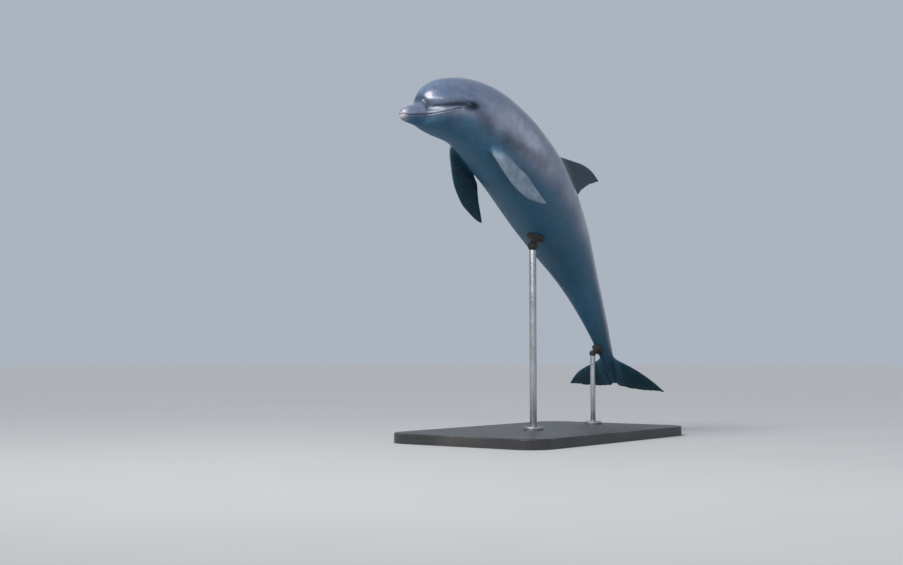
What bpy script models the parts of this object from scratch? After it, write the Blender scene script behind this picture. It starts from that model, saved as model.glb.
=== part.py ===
"""A life-size bottlenose dolphin in mid leap, a still museum model on a plain display stand.

Metres, +Z up. The origin is at the centre of the stand's underside, the head points to -X.

The animal is laid out straight first, in body coordinates that are fractions of LENGTH:
    s  from the tip of the beak (0) to the notch of the flukes (1)
    y  to the animal's right
    z  towards its back, from the line that runs through the corner of the mouth
place() then bends that straight animal into its leap, so every outline below can be read
like a drawing of a dolphin from the side and from above.
"""

import math

import bmesh
import bpy
import numpy as np
from mathutils import Vector

# ---------------------------------------------------------------- driving dimensions

LENGTH = 2.50               # beak tip to fluke notch
GAP = 0.0003                # between pieces that touch
SIDES = 28                  # points round the body
BLADE_SIDES = 14            # points round a fin
BLADE_RINGS = 14            # along a fin
FIN_EDGE = 0.0006           # half the thickness of a fin's trailing edge

# Outline of the straight body: s, height above and depth below the mouth line, half width.
STATIONS = [
    (0.000, 0.0010, 0.0060, 0.0020),
    (0.003, 0.0055, 0.0110, 0.0085),
    (0.010, 0.0100, 0.0150, 0.0130),
    (0.023, 0.0138, 0.0190, 0.0163),
    (0.036, 0.0172, 0.0232, 0.0208),   # end of the beak
    (0.042, 0.0262, 0.0255, 0.0272),   # crease in front of the melon
    (0.049, 0.0395, 0.0282, 0.0340),
    (0.064, 0.0530, 0.0335, 0.0420),   # front of the melon
    (0.089, 0.0640, 0.0430, 0.0490),
    (0.124, 0.0695, 0.0533, 0.0547),   # eyes
    (0.164, 0.0725, 0.0640, 0.0604),
    (0.214, 0.0768, 0.0710, 0.0680),   # flippers
    (0.295, 0.0835, 0.0765, 0.0746),
    (0.396, 0.0865, 0.0765, 0.0790),   # greatest girth
    (0.496, 0.0820, 0.0735, 0.0775),
    (0.597, 0.0685, 0.0645, 0.0665),   # behind the dorsal fin
    (0.698, 0.0500, 0.0510, 0.0470),
    (0.778, 0.0430, 0.0400, 0.0310),
    (0.849, 0.0370, 0.0295, 0.0195),
    (0.899, 0.0280, 0.0230, 0.0135),   # narrowest part of the tail stock
    (0.935, 0.0220, 0.0180, 0.0110),
    (0.965, 0.0140, 0.0125, 0.0095),
    (1.000, 0.0048, 0.0048, 0.0048),
]

# How square a cross section is: 2 is an ellipse, less is a lens with a keel above and below.
SQUARENESS = [(0.00, 2.2), (0.10, 2.15), (0.30, 2.05), (0.62, 2.0), (0.80, 1.75), (1.00, 1.7)]

# The line between the lips rises towards the corner of the mouth.
MOUTH_LINE = [(0.000, -0.0030), (0.020, -0.0050), (0.050, -0.0045), (0.080, -0.0005),
              (0.100, 0.0030), (0.112, 0.0020)]
MOUTH_CORNER = 0.108
CREASE = 0.0425
CREASE_SWEEP = 0.013        # how far back the crease runs on the sides of the head
CREASE_REACH = 0.022

# The leap: from s, to s, then degrees towards the belly, towards the left, and of twist.
BENDS = {
    "neck": (0.095, 0.235, 31.0, 9.5, 13.5),
    "shoulders": (0.175, 0.355, 5.0, 7.0, 5.5),
    "chest": (0.30, 0.50, 3.5, 0.5, 0.5),
    "loins": (0.44, 0.66, 7.0, -9.0, -8.0),
    "stock": (0.60, 0.82, 20.5, -10.5, -7.0),
    "tail": (0.76, 0.94, 2.0, 0.5, -4.0),
    "flukes": (0.90, 0.98, -10.0, 8.5, -2.0),
}
ANCHOR = 0.40               # station that the pose is given for
ANCHOR_PLACE = Vector((-0.20, -0.02, 1.32))
HEADING, CLIMB, ROLL = 10.0, 27.0, 26.5   # degrees at the anchor
SPINE_STEPS = 200

# Eyes.
EYE_RADIUS = 0.0135
EYE_STATION = 0.1255
EYE_HEIGHT = 0.0100
EYE_PROUD = 0.0035          # how far the ball stands out of the cheek
EYE_SEGMENTS, EYE_ROWS = 12, 8

# Dorsal fin, as height z against the stations of its two edges.
DORSAL_LEADING = [(0.060, 0.395), (0.085, 0.424), (0.100, 0.448), (0.120, 0.484),
                  (0.147, 0.531), (0.163, 0.572), (0.1685, 0.600)]
DORSAL_TRAILING = [(0.060, 0.588), (0.078, 0.5760), (0.094, 0.5708), (0.114, 0.5715),
                   (0.141, 0.582), (0.158, 0.5925), (0.1685, 0.600)]
DORSAL_THICKNESS = [(0.060, 0.0240), (0.085, 0.0130), (0.110, 0.0092), (0.150, 0.0055),
                    (0.1685, 0.0020)]

# Flukes, as distance y from the middle against the stations of the two edges.
FLUKE_LEADING = [(0.000, 0.912), (0.013, 0.926), (0.040, 0.941), (0.073, 0.961),
                 (0.102, 0.988), (0.120, 1.012)]
FLUKE_TRAILING = [(0.000, 0.999), (0.004, 1.003), (0.012, 1.0075), (0.040, 1.0110),
                  (0.079, 1.0125), (0.105, 1.0110), (0.120, 1.0130)]
FLUKE_THICKNESS = [(0.000, 0.0150), (0.015, 0.0110), (0.050, 0.0075), (0.100, 0.0040),
                   (0.120, 0.0020)]

# Flippers. Along the flipper, its leading and trailing edge as fractions of its length.
FLIPPER_LEADING = [(-0.14, -0.11), (0.00, -0.165), (0.20, -0.205), (0.40, -0.225),
                   (0.64, -0.195), (0.83, -0.115), (0.95, -0.045), (1.00, 0.000)]
FLIPPER_TRAILING = [(-0.14, 0.08), (0.00, 0.12), (0.20, 0.135), (0.42, 0.120),
                    (0.56, 0.070), (0.75, 0.034), (0.92, 0.020), (1.00, 0.008)]
FLIPPER_THICKNESS = [(-0.14, 0.085), (0.00, 0.092), (0.30, 0.066), (0.70, 0.042),
                     (1.00, 0.012)]
# Side, root (s, y, z), root to tip (tailwards, outwards, up), tilt of the outer face.
FLIPPERS = {
    "flipper_left": (-1, (0.225, 0.0625, -0.036), (0.141, 0.033, -0.024), math.radians(15)),
    "flipper_right": (1, (0.2345, 0.055, -0.036), (0.144, -0.016, -0.095), math.radians(12)),
}

# Rings along the head, and the body pieces between stations with the rings in each.
NAPE = 0.165
BEAK_RINGS, CHEEK_RINGS, NAPE_RINGS = 7, 8, 5
PIECES = [
    ("neck", NAPE, 0.225, 4),
    ("chest", 0.225, 0.400, 8),
    ("abdomen", 0.400, 0.620, 9),
    ("tail_stock", 0.620, 0.800, 9),
    ("tail_end", 0.800, 0.990, 11),
]

# Display stand.
BASE_LENGTH, BASE_WIDTH, BASE_HEIGHT = 1.50, 0.90, 0.050
BASE_CORNER, BASE_CORNER_STEPS = 0.12, 8
BASE_EDGE, BASE_EDGE_STEPS = 0.006, 3
RODS = {                    # station held, rod radius, size of the pad
    "front": (0.460, 0.018, 1.0),
    "rear": (0.850, 0.014, 0.72),
}
ROUND_SIDES = 20            # round the rods, pads and collars
BALL_ROWS = 14
# A pad's turned profile: distance from the skin and radius, a saddle, a neck and a ball.
PAD_PROFILE = [(-0.030, 0.044), (0.004, 0.046), (0.011, 0.038), (0.018, 0.020), (0.027, 0.016),
               (0.034, 0.0188), (0.042, 0.0240), (0.052, 0.0260), (0.062, 0.0240),
               (0.070, 0.0187), (0.076, 0.0102)]
PAD_ENDS = (-0.032, 0.078)
BALL_PLACE, BALL_RADIUS = 0.052, 0.026
SOCKET_ROOM = 1.03          # the socket is this much larger than the ball, plus a gap
COLLAR_WIDTH, COLLAR_HEIGHT, COLLAR_BEVEL = 0.034, 0.014, 0.004

SKIN_TOP = (0.19, 0.23, 0.32)
SKIN_DARK = (0.08, 0.11, 0.15)
SKIN_JAW = (0.20, 0.25, 0.30)
EYE_COLOUR = (0.02, 0.015, 0.012)
BASE_COLOUR = (0.03, 0.03, 0.032)
STEEL_COLOUR = (0.60, 0.61, 0.62)


# ---------------------------------------------------------------- curves and the pose

def smooth_curve(points):
    """A curve through the points that never overshoots them (monotone cubic)."""
    xs = np.array([point[0] for point in points], float)
    ys = np.array([point[1] for point in points], float)
    steps = np.diff(xs)
    slopes = np.diff(ys) / steps
    tangents = np.zeros(len(xs))
    tangents[0], tangents[-1] = slopes[0], slopes[-1]
    for i in range(1, len(xs) - 1):
        if slopes[i - 1] * slopes[i] > 0:
            before, after = 2 * steps[i] + steps[i - 1], steps[i] + 2 * steps[i - 1]
            tangents[i] = (before + after) / (before / slopes[i - 1] + after / slopes[i])

    def curve(x):
        x = min(max(x, xs[0]), xs[-1])
        i = min(int(np.searchsorted(xs, x, side="right")) - 1, len(steps) - 1)
        t = (x - xs[i]) / steps[i]
        start = (1 + 2 * t) * (1 - t) ** 2 * ys[i] + t * (1 - t) ** 2 * steps[i] * tangents[i]
        end = t * t * (3 - 2 * t) * ys[i + 1] + t * t * (t - 1) * steps[i] * tangents[i + 1]
        return start + end

    return curve


top_of = smooth_curve([(row[0], row[1]) for row in STATIONS])
bottom_of = smooth_curve([(row[0], -row[2]) for row in STATIONS])
width_of = smooth_curve([(row[0], row[3]) for row in STATIONS])
squareness_of = smooth_curve(SQUARENESS)
mouth_of = smooth_curve(MOUTH_LINE)


def rotation(vector):
    """The rotation matrix that turns about the vector by its length in radians."""
    angle = np.linalg.norm(vector)
    if angle == 0:
        return np.eye(3)
    x, y, z = vector / angle
    cross = np.array([[0, -z, y], [z, 0, -x], [-y, x, 0]])
    return np.eye(3) + math.sin(angle) * cross + (1 - math.cos(angle)) * cross @ cross


def turned_so_far(s):
    """Twist, belly bend and side bend between the beak and s, in radians."""
    total = np.zeros(3)
    for start, end, belly, side, twist in BENDS.values():
        t = min(max((s - start) / (end - start), 0), 1)
        total += t * t * (3 - 2 * t) * np.radians([twist, belly, side])
    return total


def spine():
    """Positions and axes (tailwards, right, back) at even steps from beak to flukes."""
    turns = [turned_so_far(i / SPINE_STEPS) for i in range(SPINE_STEPS + 1)]
    step = LENGTH / SPINE_STEPS
    anchor = round(ANCHOR * SPINE_STEPS)
    axes = [None] * (SPINE_STEPS + 1)
    places = [None] * (SPINE_STEPS + 1)
    axes[anchor] = (
        rotation(np.array([0, 0, math.radians(HEADING)]))
        @ rotation(np.array([0, math.radians(CLIMB), 0]))
        @ rotation(np.array([math.radians(ROLL), 0, 0]))
    )
    places[anchor] = np.array(ANCHOR_PLACE)
    for way in (1, -1):
        end = SPINE_STEPS if way == 1 else 0
        for i in range(anchor, end, way):
            turn = turns[i + way] - turns[i]
            axes[i + way] = axes[i] @ rotation(turn)
            half_way = axes[i] @ rotation(turn / 2)
            places[i + way] = places[i] + way * step * half_way[:, 0]
    return np.array(places), np.array(axes)


SPINE_PLACES, SPINE_AXES = spine()


def frame_at(s):
    """Position and axes of the bent body at station s."""
    at = min(max(s, 0), 0.99999) * SPINE_STEPS
    i = int(at)
    t = at - i
    origin = SPINE_PLACES[i] * (1 - t) + SPINE_PLACES[i + 1] * t
    axes = SPINE_AXES[i] * (1 - t) + SPINE_AXES[i + 1] * t
    return origin, axes


def place(s, y, z):
    """A point of the straight animal, where the leap puts it, in metres."""
    origin, axes = frame_at(s)
    beyond = s - min(max(s, 0), 1)
    return Vector(origin + axes @ (LENGTH * np.array([beyond, y, z])))


# ---------------------------------------------------------------- making objects

def fresh_scene():
    for obj in list(bpy.data.objects):
        bpy.data.objects.remove(obj)
    for name in ("bottlenose_dolphin", "cutters"):
        bpy.context.scene.collection.children.link(bpy.data.collections.new(name))


def material(name, colour, roughness, metallic=0.0):
    made = bpy.data.materials.get(name) or bpy.data.materials.new(name)
    made.use_nodes = True
    shader = made.node_tree.nodes["Principled BSDF"]
    shader.inputs["Base Color"].default_value = (*colour, 1)
    shader.inputs["Roughness"].default_value = roughness
    shader.inputs["Metallic"].default_value = metallic
    return made


def add_object(name, form, finish):
    """Turns a bmesh into a smooth-shaded object of the dolphin's collection."""
    if form.calc_volume(signed=True) < 0:
        bmesh.ops.reverse_faces(form, faces=form.faces)
    mesh = bpy.data.meshes.new(name)
    form.to_mesh(mesh)
    form.free()
    mesh.shade_smooth()
    mesh.set_sharp_from_angle(angle=math.radians(45))
    obj = bpy.data.objects.new(name, mesh)
    bpy.data.collections["bottlenose_dolphin"].objects.link(obj)
    if finish:
        mesh.materials.append(finish)
    return obj


def as_cutter(obj):
    bpy.data.collections["bottlenose_dolphin"].objects.unlink(obj)
    bpy.data.collections["cutters"].objects.link(obj)
    obj.hide_render = True
    obj.display_type = "WIRE"
    return obj


def cut(obj, cutter):
    modifier = obj.modifiers.new("cut " + cutter.name, "BOOLEAN")
    modifier.operation = "DIFFERENCE"
    modifier.object = cutter


def loft(rings, sides, first, last, ring_point):
    """A UV sphere whose ring k is moved point by point, and whose poles go to first and last."""
    form = bmesh.new()
    bmesh.ops.create_uvsphere(form, u_segments=sides, v_segments=rings + 1, radius=1)
    for vertex in form.verts:
        row = round(math.acos(min(max(vertex.co.z, -1), 1)) / math.pi * (rings + 1))
        if row == 0:
            vertex.co = first
        elif row == rings + 1:
            vertex.co = last
        else:
            vertex.co = ring_point(row - 1, math.atan2(vertex.co.y, vertex.co.x))
    return form


# ---------------------------------------------------------------- the body

def body_point(s, angle, part="whole", grow=0.0):
    """The skin at station s. Angle 0 is the right side, 90 degrees the back.

    The upper and lower parts of the head are closed by a lid along the mouth line, so half
    of their angles go to that lid and the others share out the rest of the section.
    """
    power = 2 / squareness_of(s)
    sweep = CREASE_SWEEP * math.exp(-((s - CREASE) / CREASE_REACH) ** 2)
    on_lid = False
    lid = mouth_of(s)
    if part != "whole":
        height = top_of(s) if lid > 0 else -bottom_of(s)
        lip = math.copysign(math.asin((abs(lid) / height) ** (1 / power)), lid)
        over = 1 if part == "upper" else -1
        on_lid = math.sin(angle) * over < -1e-6
        lid += over * GAP / LENGTH / 2
        if on_lid:
            y = width_of(s) * math.cos(lip) ** power * math.cos(angle)
            return place(s + sweep * math.cos(angle) ** 2, y, lid)
        middle = over * math.pi / 2
        angle = abs(angle) * over
        angle = middle + (angle - middle) * (math.pi / 2 - over * lip) / (math.pi / 2)
    across, up = math.cos(angle), math.sin(angle)
    height = top_of(s) if up > 0 else -bottom_of(s)
    y = (width_of(s) + grow) * math.copysign(abs(across) ** power, across)
    z = (height + grow) * math.copysign(abs(up) ** power, up)
    if part == "upper":
        z = max(z, lid)
    if part == "lower":
        z = min(z, lid)
    return place(s + sweep * across**2, y, z)


def body_piece(name, rings, first, last, finish, grow=0.0):
    """A length of the body through rings of (station, part), closed at its two ends."""

    def ring_point(k, angle):
        return body_point(rings[k][0], angle, rings[k][1], grow)

    form = loft(len(rings), SIDES, place(*first), place(*last), ring_point)
    return add_object(name, form, finish)


def stations_between(start, end, count):
    """Even stations from start to end, half a gap short of both."""
    short = GAP / LENGTH / 2
    return [float(s) for s in np.linspace(start + short, end - short, count)]


def beak_stations():
    """Close together at the rounded tip, wider apart towards the crease."""
    last = CREASE - GAP / LENGTH / 2
    return [last * (k / BEAK_RINGS) ** 1.6 for k in range(1, BEAK_RINGS + 1)]


def middle_of(s, part):
    """A point inside the section at s, for the centre of a closing face."""
    low = mouth_of(s) if part == "upper" else bottom_of(s)
    high = mouth_of(s) if part == "lower" else top_of(s)
    return (low + high) / 2


def make_head(finish, beak_finish, jaw_finish):
    beak = beak_stations()
    cheek = stations_between(CREASE, MOUTH_CORNER, CHEEK_RINGS)
    nape = [MOUTH_CORNER + 0.0005] + stations_between(MOUTH_CORNER + 0.008, NAPE, NAPE_RINGS)
    swept = CREASE_SWEEP / 2
    body_piece(
        "beak",
        [(s, "upper") for s in beak],
        (0.0012, 0, mouth_of(0) + 0.0015),
        (beak[-1] + swept, 0, middle_of(CREASE, "upper")),
        beak_finish,
    )
    body_piece(
        "lower_jaw",
        [(s, "lower") for s in beak + cheek[1:]],
        (0, 0, mouth_of(0) - 0.0030),
        (cheek[-1], 0, middle_of(MOUTH_CORNER, "lower")),
        jaw_finish,
    )
    return body_piece(
        "head",
        [(s, "upper") for s in cheek[:-1] + [MOUTH_CORNER]] + [(s, "whole") for s in nape],
        (cheek[0] + swept, 0, middle_of(CREASE, "upper")),
        (nape[-1], 0, middle_of(NAPE, "whole")),
        finish,
    )


def make_eyes(head, finish):
    """Balls set in sockets, with only a low dome standing out of the cheek."""
    for name, side in (("eye_left", -1), ("eye_right", 1)):
        rise = math.asin(EYE_HEIGHT / top_of(EYE_STATION))
        surface = body_point(EYE_STATION, rise if side > 0 else math.pi - rise)
        origin, axes = frame_at(EYE_STATION)
        outwards = Vector(axes[:, 1]) * side
        centre = surface - outwards * (EYE_RADIUS - EYE_PROUD)
        for label, radius in ((name, EYE_RADIUS), (name + "_socket", EYE_RADIUS + GAP)):
            form = bmesh.new()
            bmesh.ops.create_uvsphere(
                form, u_segments=EYE_SEGMENTS, v_segments=EYE_ROWS, radius=radius
            )
            bmesh.ops.translate(form, verts=form.verts, vec=centre)
            ball = add_object(label, form, finish)
            if label != name:
                cut(head, as_cutter(ball))


def make_trunk(finish, dark_finish):
    for name, start, end, count in PIECES:
        rings = stations_between(start, end, count)
        body_piece(
            name,
            [(s, "whole") for s in rings],
            (rings[0], 0, middle_of(rings[0], "whole")),
            (rings[-1], 0, middle_of(rings[-1], "whole")),
            dark_finish if name.startswith("tail") else finish,
        )


def make_core():
    """The body behind the head, a gap larger all round, which cuts whatever meets it."""
    rings = []
    for name, start, end, count in PIECES:
        rings += [s for s in stations_between(start, end, count) if not rings or s > rings[-1]]
    rings[-1] += 2 * GAP / LENGTH
    core = body_piece(
        "core",
        [(s, "whole") for s in rings],
        (rings[0], 0, 0),
        (rings[-1], 0, 0),
        None,
        grow=1.3 * GAP / LENGTH,
    )
    return as_cutter(core)


# ---------------------------------------------------------------- the fins

def foil(u):
    """Half thickness of a fin section at u, 0 at its leading and 1 at its trailing edge."""
    return 5 * (0.2969 * math.sqrt(u) - 0.126 * u - 0.3516 * u**2 + 0.2843 * u**3 - 0.1036 * u**4)


def blade(name, spans, leading, trailing, thickness, locate, finish, scale=LENGTH):
    """A fin through sections at the spans; locate(span, chordwise, sideways) is in fractions."""
    tip = spans[-1]

    def ring_point(k, angle):
        span = spans[k]
        u = (1 - math.cos(angle)) / 2
        chordwise = leading(span) * (1 - u) + trailing(span) * u
        half = max(thickness(span) * foil(u), FIN_EDGE / scale)
        flat = abs(math.sin(angle)) < 1e-6
        return locate(span, chordwise, 0 if flat else math.copysign(half, math.sin(angle)))

    start = locate(spans[0], (leading(spans[0]) + trailing(spans[0])) / 2, 0)
    end = locate(tip, (leading(tip) + trailing(tip)) / 2, 0)
    form = loft(len(spans) - 1, BLADE_SIDES, start, end, ring_point)
    return add_object(name, form, finish)


def spread(start, end, count):
    """Spans from start to end that crowd together towards the tip."""
    return [start + (end - start) * (1 - (1 - k / count) ** 1.7) for k in range(count + 1)]


def make_dorsal_fin(core, finish):
    spans = spread(DORSAL_LEADING[0][0], DORSAL_LEADING[-1][0], BLADE_RINGS)
    fin = blade(
        "dorsal_fin",
        spans,
        smooth_curve(DORSAL_LEADING),
        smooth_curve(DORSAL_TRAILING),
        smooth_curve(DORSAL_THICKNESS),
        lambda z, s, y: place(s, y, z),
        finish,
    )
    cut(fin, core)


def make_flukes(core, finish):
    apart = GAP / LENGTH / 2
    for name, side in (("fluke_left", -1), ("fluke_right", 1)):
        spans = spread(apart, FLUKE_LEADING[-1][0], BLADE_RINGS)
        fluke = blade(
            name,
            spans,
            smooth_curve(FLUKE_LEADING),
            smooth_curve(FLUKE_TRAILING),
            smooth_curve(FLUKE_THICKNESS),
            lambda y, s, z, side=side: place(s, side * y, z),
            finish,
        )
        cut(fluke, core)


def make_flippers(core, finish):
    for name, (side, (s, y, z), tip, tilt) in FLIPPERS.items():
        root = np.array(place(s, side * y, z))
        axes = frame_at(s)[1]
        along = np.array([tip[0], side * tip[1], tip[2]])
        length = float(np.linalg.norm(along))
        along = along / length
        face = np.array([0, side * math.cos(tilt), math.sin(tilt)])
        face = face - along * (face @ along)
        face = face / np.linalg.norm(face)
        chord = np.cross(along, face) * side

        def locate(span, chordwise, thick, root=root, axes=axes, along=along, face=face,
                   chord=chord, length=length):
            offset = along * span + chord * chordwise + face * thick
            return Vector(root + axes @ offset * length * LENGTH)

        flipper = blade(
            name,
            spread(FLIPPER_LEADING[0][0], 1.0, BLADE_RINGS),
            smooth_curve(FLIPPER_LEADING),
            smooth_curve(FLIPPER_TRAILING),
            smooth_curve(FLIPPER_THICKNESS),
            locate,
            finish,
            scale=length * LENGTH,
        )
        cut(flipper, core)


# ---------------------------------------------------------------- the stand

def make_base(finish):
    form = bmesh.new()
    bmesh.ops.create_cube(form, size=1)
    bmesh.ops.scale(form, verts=form.verts, vec=(BASE_LENGTH, BASE_WIDTH, BASE_HEIGHT))
    bmesh.ops.translate(form, verts=form.verts, vec=(0, 0, BASE_HEIGHT / 2))
    upright = [e for e in form.edges if abs(e.verts[0].co.z - e.verts[1].co.z) > BASE_HEIGHT / 2]
    bmesh.ops.bevel(
        form,
        geom=upright,
        offset=BASE_CORNER,
        segments=BASE_CORNER_STEPS,
        profile=0.5,
        affect="EDGES",
    )
    rim = [e for e in form.edges if all(v.co.z > BASE_HEIGHT * 0.99 for v in e.verts)]
    bmesh.ops.bevel(
        form,
        geom=rim,
        offset=BASE_EDGE,
        segments=BASE_EDGE_STEPS,
        profile=0.5,
        affect="EDGES",
    )
    add_object("stand_base", form, finish)


def upright_cylinder(name, x, y, low, high, radius, finish):
    form = bmesh.new()
    bmesh.ops.create_cone(
        form, cap_ends=True, segments=ROUND_SIDES, radius1=radius, radius2=radius, depth=high - low
    )
    bmesh.ops.translate(form, verts=form.verts, vec=(x, y, (low + high) / 2))
    return add_object(name, form, finish)


def make_collar(name, x, y, radius, finish):
    """A turned ring round the foot of a rod: its profile, swept by a Screw modifier."""
    inner, outer = radius + GAP, radius + COLLAR_WIDTH
    low, high = BASE_HEIGHT + GAP, BASE_HEIGHT + COLLAR_HEIGHT
    bevelled = [(outer, high - COLLAR_BEVEL), (outer - COLLAR_BEVEL, high)]
    profile = [(outer, low), *bevelled, (inner, high), (inner, low)]
    mesh = bpy.data.meshes.new(name)
    edges = [(i, (i + 1) % len(profile)) for i in range(len(profile))]
    mesh.from_pydata([(r, 0, z) for r, z in reversed(profile)], edges, [])
    collar = bpy.data.objects.new(name, mesh)
    collar.location = (x, y, 0)
    bpy.data.collections["bottlenose_dolphin"].objects.link(collar)
    mesh.materials.append(finish)
    screw = collar.modifiers.new("turn", "SCREW")
    screw.steps = screw.render_steps = ROUND_SIDES
    screw.use_merge_vertices = True
    screw.merge_threshold = 0.00001
    screw.use_smooth_shade = True


def make_pad(name, skin_point, outwards, size, core, finish):
    """A turned saddle, neck and ball, standing out from the skin, cut to the body's shape."""
    tilt = Vector((0, 0, 1)).rotation_difference(outwards)

    def ring_point(k, angle):
        distance, radius = PAD_PROFILE[k]
        spoke = Vector((radius * math.cos(angle), radius * math.sin(angle), distance))
        return skin_point + tilt @ (size * spoke)

    ends = [skin_point + outwards * (size * end) for end in PAD_ENDS]
    pad = add_object(name, loft(len(PAD_PROFILE), ROUND_SIDES, ends[0], ends[1], ring_point), finish)
    cut(pad, core)


def make_rods(core, steel, pad_finish):
    bpy.context.view_layer.update()
    for name, (station, radius, size) in RODS.items():
        x, y = frame_at(station)[0][:2]
        hit, skin_point, outwards, face = core.ray_cast(Vector((x, y, 0)), Vector((0, 0, 1)))
        make_pad("stand_pad_" + name, skin_point, outwards, size, core, pad_finish)
        ball_place = skin_point + outwards * (size * BALL_PLACE)
        form = bmesh.new()
        bmesh.ops.create_uvsphere(
            form,
            u_segments=ROUND_SIDES,
            v_segments=BALL_ROWS,
            radius=size * BALL_RADIUS * SOCKET_ROOM + GAP,
        )
        bmesh.ops.translate(form, verts=form.verts, vec=ball_place)
        socket = as_cutter(add_object("socket_" + name, form, None))
        x, y, high = ball_place
        rod = upright_cylinder("stand_rod_" + name, x, y, BASE_HEIGHT + GAP, high, radius, steel)
        cut(rod, socket)
        make_collar("stand_collar_" + name, x, y, radius, steel)


# ---------------------------------------------------------------- the whole model

def main():
    fresh_scene()
    skin = material("skin", SKIN_TOP, 0.35)
    dark_skin = material("dark_skin", SKIN_DARK, 0.35)
    jaw_skin = material("jaw_skin", SKIN_JAW, 0.35)
    eye = material("eye", EYE_COLOUR, 0.05)
    base = material("base", BASE_COLOUR, 0.5)
    steel = material("steel", STEEL_COLOUR, 0.3, 1.0)
    pad = material("pad", BASE_COLOUR, 0.8)
    head = make_head(skin, skin, jaw_skin)
    make_eyes(head, eye)
    make_trunk(skin, dark_skin)
    core = make_core()
    make_dorsal_fin(core, dark_skin)
    make_flukes(core, dark_skin)
    make_flippers(core, skin)
    make_base(base)
    make_rods(core, steel, pad)


main()
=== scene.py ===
# %% [markdown]
# # A leaping bottlenose dolphin on its display stand
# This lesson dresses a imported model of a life-size dolphin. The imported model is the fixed
# frame: it has the right size and weight, but its body is a row of plain solids with seams.
# We keep the shapes of the stand, and put one smooth skin over all the solids of flesh.

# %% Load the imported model
import math

import bmesh
import bpy
import numpy as np
from mathutils.kdtree import KDTree
from mathutils import Matrix, Vector, noise


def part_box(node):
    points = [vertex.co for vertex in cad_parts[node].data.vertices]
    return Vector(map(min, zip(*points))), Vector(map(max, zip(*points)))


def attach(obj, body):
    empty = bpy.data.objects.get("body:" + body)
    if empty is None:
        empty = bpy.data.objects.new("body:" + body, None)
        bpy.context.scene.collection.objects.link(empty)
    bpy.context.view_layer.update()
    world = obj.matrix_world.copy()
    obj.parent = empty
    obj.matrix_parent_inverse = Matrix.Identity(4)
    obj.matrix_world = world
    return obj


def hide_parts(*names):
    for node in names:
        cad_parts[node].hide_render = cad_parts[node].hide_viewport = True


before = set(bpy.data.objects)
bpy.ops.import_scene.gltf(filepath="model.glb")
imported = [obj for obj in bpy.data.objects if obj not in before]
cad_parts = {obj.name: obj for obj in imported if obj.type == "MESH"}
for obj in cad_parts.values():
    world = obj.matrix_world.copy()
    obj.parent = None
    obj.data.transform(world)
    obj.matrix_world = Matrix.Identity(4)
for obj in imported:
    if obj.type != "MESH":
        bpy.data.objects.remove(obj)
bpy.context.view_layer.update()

print("CAD nodes:", len(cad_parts))

# %% [markdown]
# ## The straight animal
# A leaping body is hard to model directly, because everything on it is turned. So we build
# the dolphin lying straight, as in a field guide, and bend it at the very end. Along it runs
# s, from the tip of the beak (0) to the notch of the flukes (1). Across it, y points to the
# animal's right and z to its back. All outlines are fractions of one length, so the whole
# animal is driven by a single size.

# %% Outline of the straight body
LENGTH = 2.50               # metres, beak tip to fluke notch

# s, height above and depth below the line of the mouth, half width
STATIONS = [
    (0.000, 0.0010, 0.0060, 0.0020),
    (0.003, 0.0055, 0.0110, 0.0085),
    (0.010, 0.0100, 0.0150, 0.0130),
    (0.023, 0.0138, 0.0190, 0.0163),
    (0.036, 0.0172, 0.0232, 0.0208),   # end of the beak
    (0.042, 0.0262, 0.0255, 0.0272),   # crease in front of the melon
    (0.049, 0.0395, 0.0282, 0.0340),
    (0.064, 0.0530, 0.0335, 0.0420),   # front of the melon
    (0.089, 0.0640, 0.0430, 0.0490),
    (0.124, 0.0695, 0.0533, 0.0547),   # eyes
    (0.164, 0.0725, 0.0640, 0.0604),
    (0.214, 0.0768, 0.0710, 0.0680),   # flippers
    (0.295, 0.0835, 0.0765, 0.0746),
    (0.396, 0.0865, 0.0765, 0.0790),   # greatest girth
    (0.496, 0.0820, 0.0735, 0.0775),
    (0.597, 0.0685, 0.0645, 0.0665),   # behind the dorsal fin
    (0.698, 0.0500, 0.0510, 0.0470),
    (0.778, 0.0430, 0.0400, 0.0310),
    (0.849, 0.0370, 0.0295, 0.0195),
    (0.899, 0.0280, 0.0230, 0.0135),   # narrowest part of the tail stock
    (0.935, 0.0220, 0.0180, 0.0110),
    (0.965, 0.0140, 0.0125, 0.0095),
    (1.000, 0.0048, 0.0048, 0.0048),
]
SQUARENESS = [(0.00, 2.2), (0.10, 2.15), (0.30, 2.05), (0.62, 2.0), (0.80, 1.75), (1.00, 1.7)]
MOUTH_LINE = [(0.000, -0.0030), (0.020, -0.0050), (0.050, -0.0045), (0.080, -0.0005),
              (0.100, 0.0030), (0.112, 0.0020)]
MOUTH_CORNER = 0.108
CREASE, CREASE_SWEEP, CREASE_REACH = 0.0425, 0.013, 0.022


def smooth_curve(points):
    """A curve through the points that never overshoots them; it takes numbers or arrays."""
    xs, ys = np.array(points, float).T
    steps = np.diff(xs)
    slopes = np.diff(ys) / steps
    tangents = np.concatenate([slopes[:1], np.zeros(len(xs) - 2), slopes[-1:]])
    for i in range(1, len(xs) - 1):
        if slopes[i - 1] * slopes[i] > 0:
            before, after = 2 * steps[i] + steps[i - 1], steps[i] + 2 * steps[i - 1]
            tangents[i] = (before + after) / (before / slopes[i - 1] + after / slopes[i])

    def curve(x):
        x = np.clip(x, xs[0], xs[-1])
        i = np.clip(np.searchsorted(xs, x, side="right") - 1, 0, len(steps) - 1)
        t = (x - xs[i]) / steps[i]
        start = (1 + 2 * t) * (1 - t) ** 2 * ys[i] + t * (1 - t) ** 2 * steps[i] * tangents[i]
        end = t * t * (3 - 2 * t) * ys[i + 1] + t * t * (t - 1) * steps[i] * tangents[i + 1]
        return start + end

    return curve


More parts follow.
